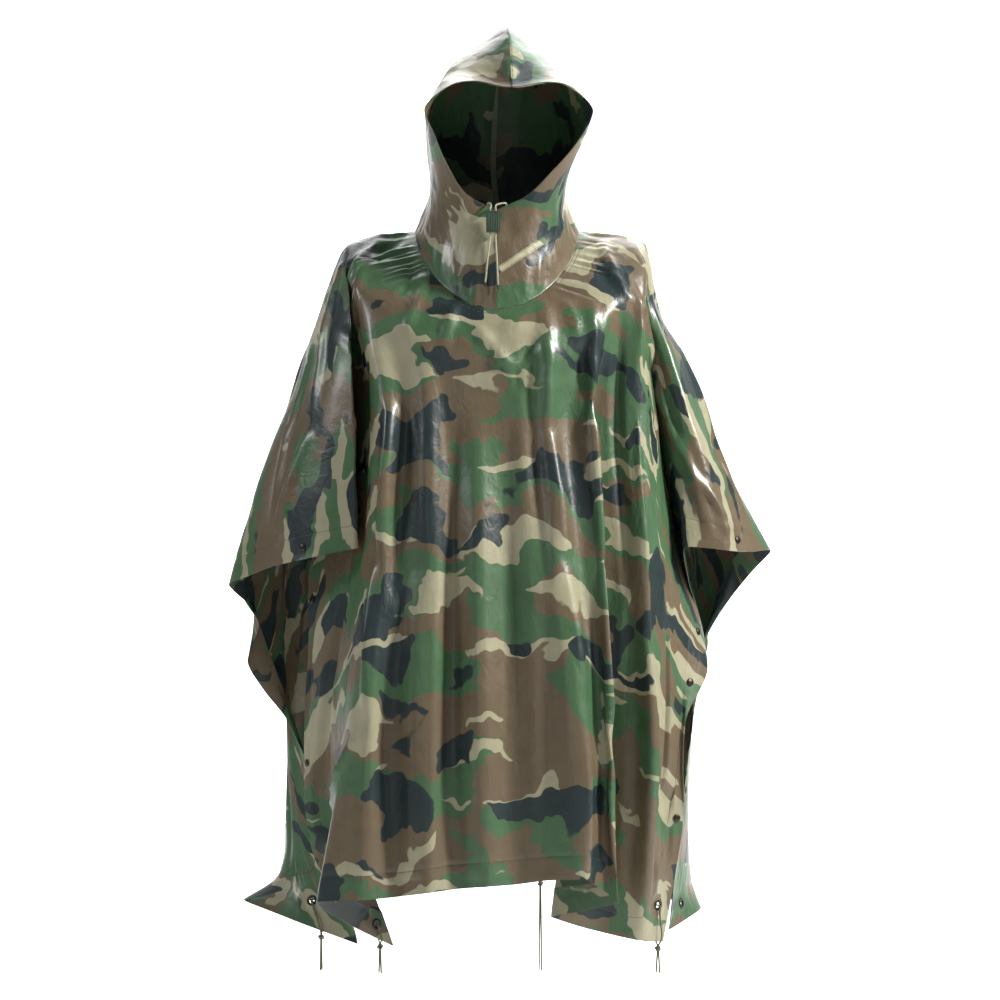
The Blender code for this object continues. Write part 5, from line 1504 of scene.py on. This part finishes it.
for name, _, _, _, tip_height in EYELETS:
    if tip_height is None:
        continue
    place, normal, edge, _ = eyelet_spots[name]
    level = np.array([normal[0], normal[1], 0.0])
    level /= np.linalg.norm(level)
    down = np.array([0, 0, -1.0])
    knot = place + edge + down * KNOT_BELOW_HEM
    along = edge / np.linalg.norm(edge)
    beside = TIE / 2 + GAP / 2
    ball = overhand_knot(f"knot_{name}_cord", knot, 0.7 * len(name))
    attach(ball, "root")
    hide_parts(f"knot_{name}")
    for end, sign in (("outer", 1), ("inner", -1)):
        out = sign * normal
        rim = CAD_CLOTH / 2 + 0.9 * MM + GAP + 0.9 * MM
        reach = rim + TIE / 2 + 2 * GAP
        route = [place + out * GAP / 2, place + out * rim,
                 place + out * (reach + 0.6 * MM) + along * 1.8 * MM,
                 place + out * (reach + 0.3 * MM) + along * 6 * MM,
                 place + out * reach + along * EYELET_FLANGE, place + out * reach + edge,
                 knot + sign * level * beside - down * 0.7 * KNOT_HEIGHT,
                 knot + sign * level * beside + down * 0.7 * KNOT_HEIGHT]
        length = route[-1][2] - tip_height * MM
        for share in (0.5, 1.0):
            spread = sign * level * (beside + TIE_SPREAD * share)
            route.append(knot + spread + down * (0.7 * KNOT_HEIGHT + length * share))
        path = smooth_path(route, CORD_STEP)
        piece = cord_mesh(f"tie_{name}_{end}_braid", path, TIE, olive_braid, sealed=5 * MM)
        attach(piece, "root")
        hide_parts(f"tie_{name}_{end}")
    print(name, round(float(arc_knots(path)[-1]) / MM), "mm a strand")

# %% [markdown]
# ## Metal
# An eyelet is a short tube of thin brass, pushed through the hem and rolled outwards on both
# sides. A press stud is clinched through the hem, and we make what shows of it outside: a domed
# cap on a rolled lip. Both are blackened. Each is modelled once at the origin, and copied to
# every spot.


# %% Blackened brass, and a helper to start each piece alone
brass = speckled_finish("blackened_brass", 700, 3.0, (0.035, 0.034, 0.030), (0.16, 0.13, 0.075), 0.38,
                        limits=(0.55, 0.8), metallic=0.9)


def start_alone():
    """Begin with nothing selected."""
    bpy.ops.object.select_all(action="DESELECT")


def join_as(name, parts, finish):
    """Join parts into one smooth piece."""
    start_alone()
    for part in parts:
        part.select_set(True)
    bpy.context.view_layer.objects.active = parts[0]
    bpy.ops.object.transform_apply(location=True, rotation=True, scale=True)
    bpy.ops.object.join()
    made = bpy.context.object
    made.name = made.data.name = name
    made.data.materials.clear()
    made.data.materials.append(finish)
    bpy.ops.object.shade_smooth()
    return made


print("finish", brass.name)

# %% An eyelet, rolled on both sides
start_alone()
rims = []
for height in (1.35, -1.35):
    bpy.ops.mesh.primitive_torus_add(location=(0, 0, height * MM), major_segments=40, minor_segments=12,
                                     major_radius=6.4 * MM, minor_radius=2.0 * MM)
    bpy.ops.transform.resize(value=(1, 1, 0.36))
    rims.append(bpy.context.object)
bpy.ops.mesh.primitive_cylinder_add(vertices=40, radius=4.6 * MM, depth=2.6 * MM,
                                    end_fill_type="NOTHING")
barrel = bpy.context.object
eyelet_model = join_as("eyelet", [*rims, barrel], brass)
print("eyelet", len(eyelet_model.data.polygons))

# %% A press stud: cap, lip and shank
start_alone()
bpy.ops.mesh.primitive_uv_sphere_add(segments=32, ring_count=16, radius=5.6 * MM,
                                     location=(0, 0, 1.3 * MM))
bpy.ops.transform.resize(value=(1, 1, 0.30))
dome = bpy.context.object
bpy.ops.mesh.primitive_torus_add(location=(0, 0, 1.05 * MM), major_segments=40, minor_segments=10,
                                 major_radius=5.2 * MM, minor_radius=0.75 * MM)
lip = bpy.context.object
bpy.ops.mesh.primitive_cylinder_add(vertices=24, radius=2.0 * MM, depth=1.5 * MM,
                                    location=(0, 0, 0.4 * MM))
shank = bpy.context.object
stud_model = join_as("stud", [dome, lip, shank], brass)
print("stud", len(stud_model.data.polygons))


# %% Copies at every spot
def stand(normal, place):
    """The move that stands a model up along a normal at a place."""
    return Matrix.Translation(place) @ Vector(normal).to_track_quat("Z", "Y").to_matrix().to_4x4()


def place_copy(model, name, spot, rise, node):
    """A copy of a model on a spot, raised along its normal."""
    mesh = model.data.copy()
    mesh.name = name
    mesh.transform(stand(spot.normal, spot.place + spot.normal * rise))
    piece = add_piece(name, mesh)
    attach(piece, "root")
    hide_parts(node)
    return piece


for name, spot in eyelet_spots.items():
    place_copy(eyelet_model, f"eyelet_{name}_rolled", spot, -0.35 * MM, f"eyelet_{name}")
for name, spot in stud_spots.items():
    place_copy(stud_model, f"stud_{name}_cap", spot, CLOTH / 2 + 0.25 * MM, f"stud_{name}")
for model in (eyelet_model, stud_model):
    bpy.data.objects.remove(model, do_unlink=True)
print("metal placed", len(eyelet_spots) + len(stud_spots))

# %% [markdown]
# ## The cord lock
# The lock is a moulded nylon body with a spring inside, and upright ribs for the fingers. Pressing
# its top lets the two ends of the drawcord slide. Here it stays as it was set.


# %% Cord lock
plastic = speckled_finish("green_plastic", 900, 2.0, (0.016, 0.036, 0.022), (0.030, 0.060, 0.036), 0.42)
start_alone()
bpy.ops.mesh.primitive_cube_add(size=1, location=LOCK_PLACE)
bpy.ops.transform.resize(value=(LOCK_WIDTH, LOCK_DEPTH - 1.6 * MM, LOCK_HEIGHT))
body = bpy.context.object
bpy.ops.object.mode_set(mode="EDIT")
bpy.ops.mesh.select_all(action="SELECT")
bpy.ops.mesh.bevel(offset=2.4 * MM, segments=5, affect="EDGES")
bpy.ops.object.mode_set(mode="OBJECT")
ribs = []
for k in range(7):
    for depth in (-1, 1):
        bpy.ops.mesh.primitive_cylinder_add(
            vertices=16, radius=1.05 * MM, depth=LOCK_HEIGHT - 7 * MM,
            location=(LOCK_PLACE[0] + (k - 3) * 2.5 * MM,
                      LOCK_PLACE[1] + depth * (LOCK_DEPTH / 2 - 1.0 * MM), LOCK_PLACE[2]))
        ribs.append(bpy.context.object)
lock = join_as("cord_lock_moulded", [body, *ribs], plastic)
for sign in (-1, 1):
    start_alone()
    bpy.ops.mesh.primitive_cylinder_add(
        vertices=24, radius=DRAWCORD / 2 + 0.2 * MM, depth=2 * LOCK_HEIGHT,
        location=(LOCK_PLACE[0] + sign * LOCK_HOLE_APART / 2, LOCK_PLACE[1], LOCK_PLACE[2]))
    drill = bpy.context.object
    start_alone()
    lock.select_set(True)
    bpy.context.view_layer.objects.active = lock
    cut = lock.modifiers.new("hole", "BOOLEAN")
    cut.operation = "DIFFERENCE"
    cut.object = drill
    cut.use_self = True
    bpy.ops.object.modifier_apply(modifier="hole")
    bpy.data.objects.remove(drill, do_unlink=True)
lock.data.shade_smooth()
lock.data.set_sharp_from_angle(angle=math.radians(35))
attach(lock, "root")
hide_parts("cord_lock")
print("cord lock", len(lock.data.polygons))
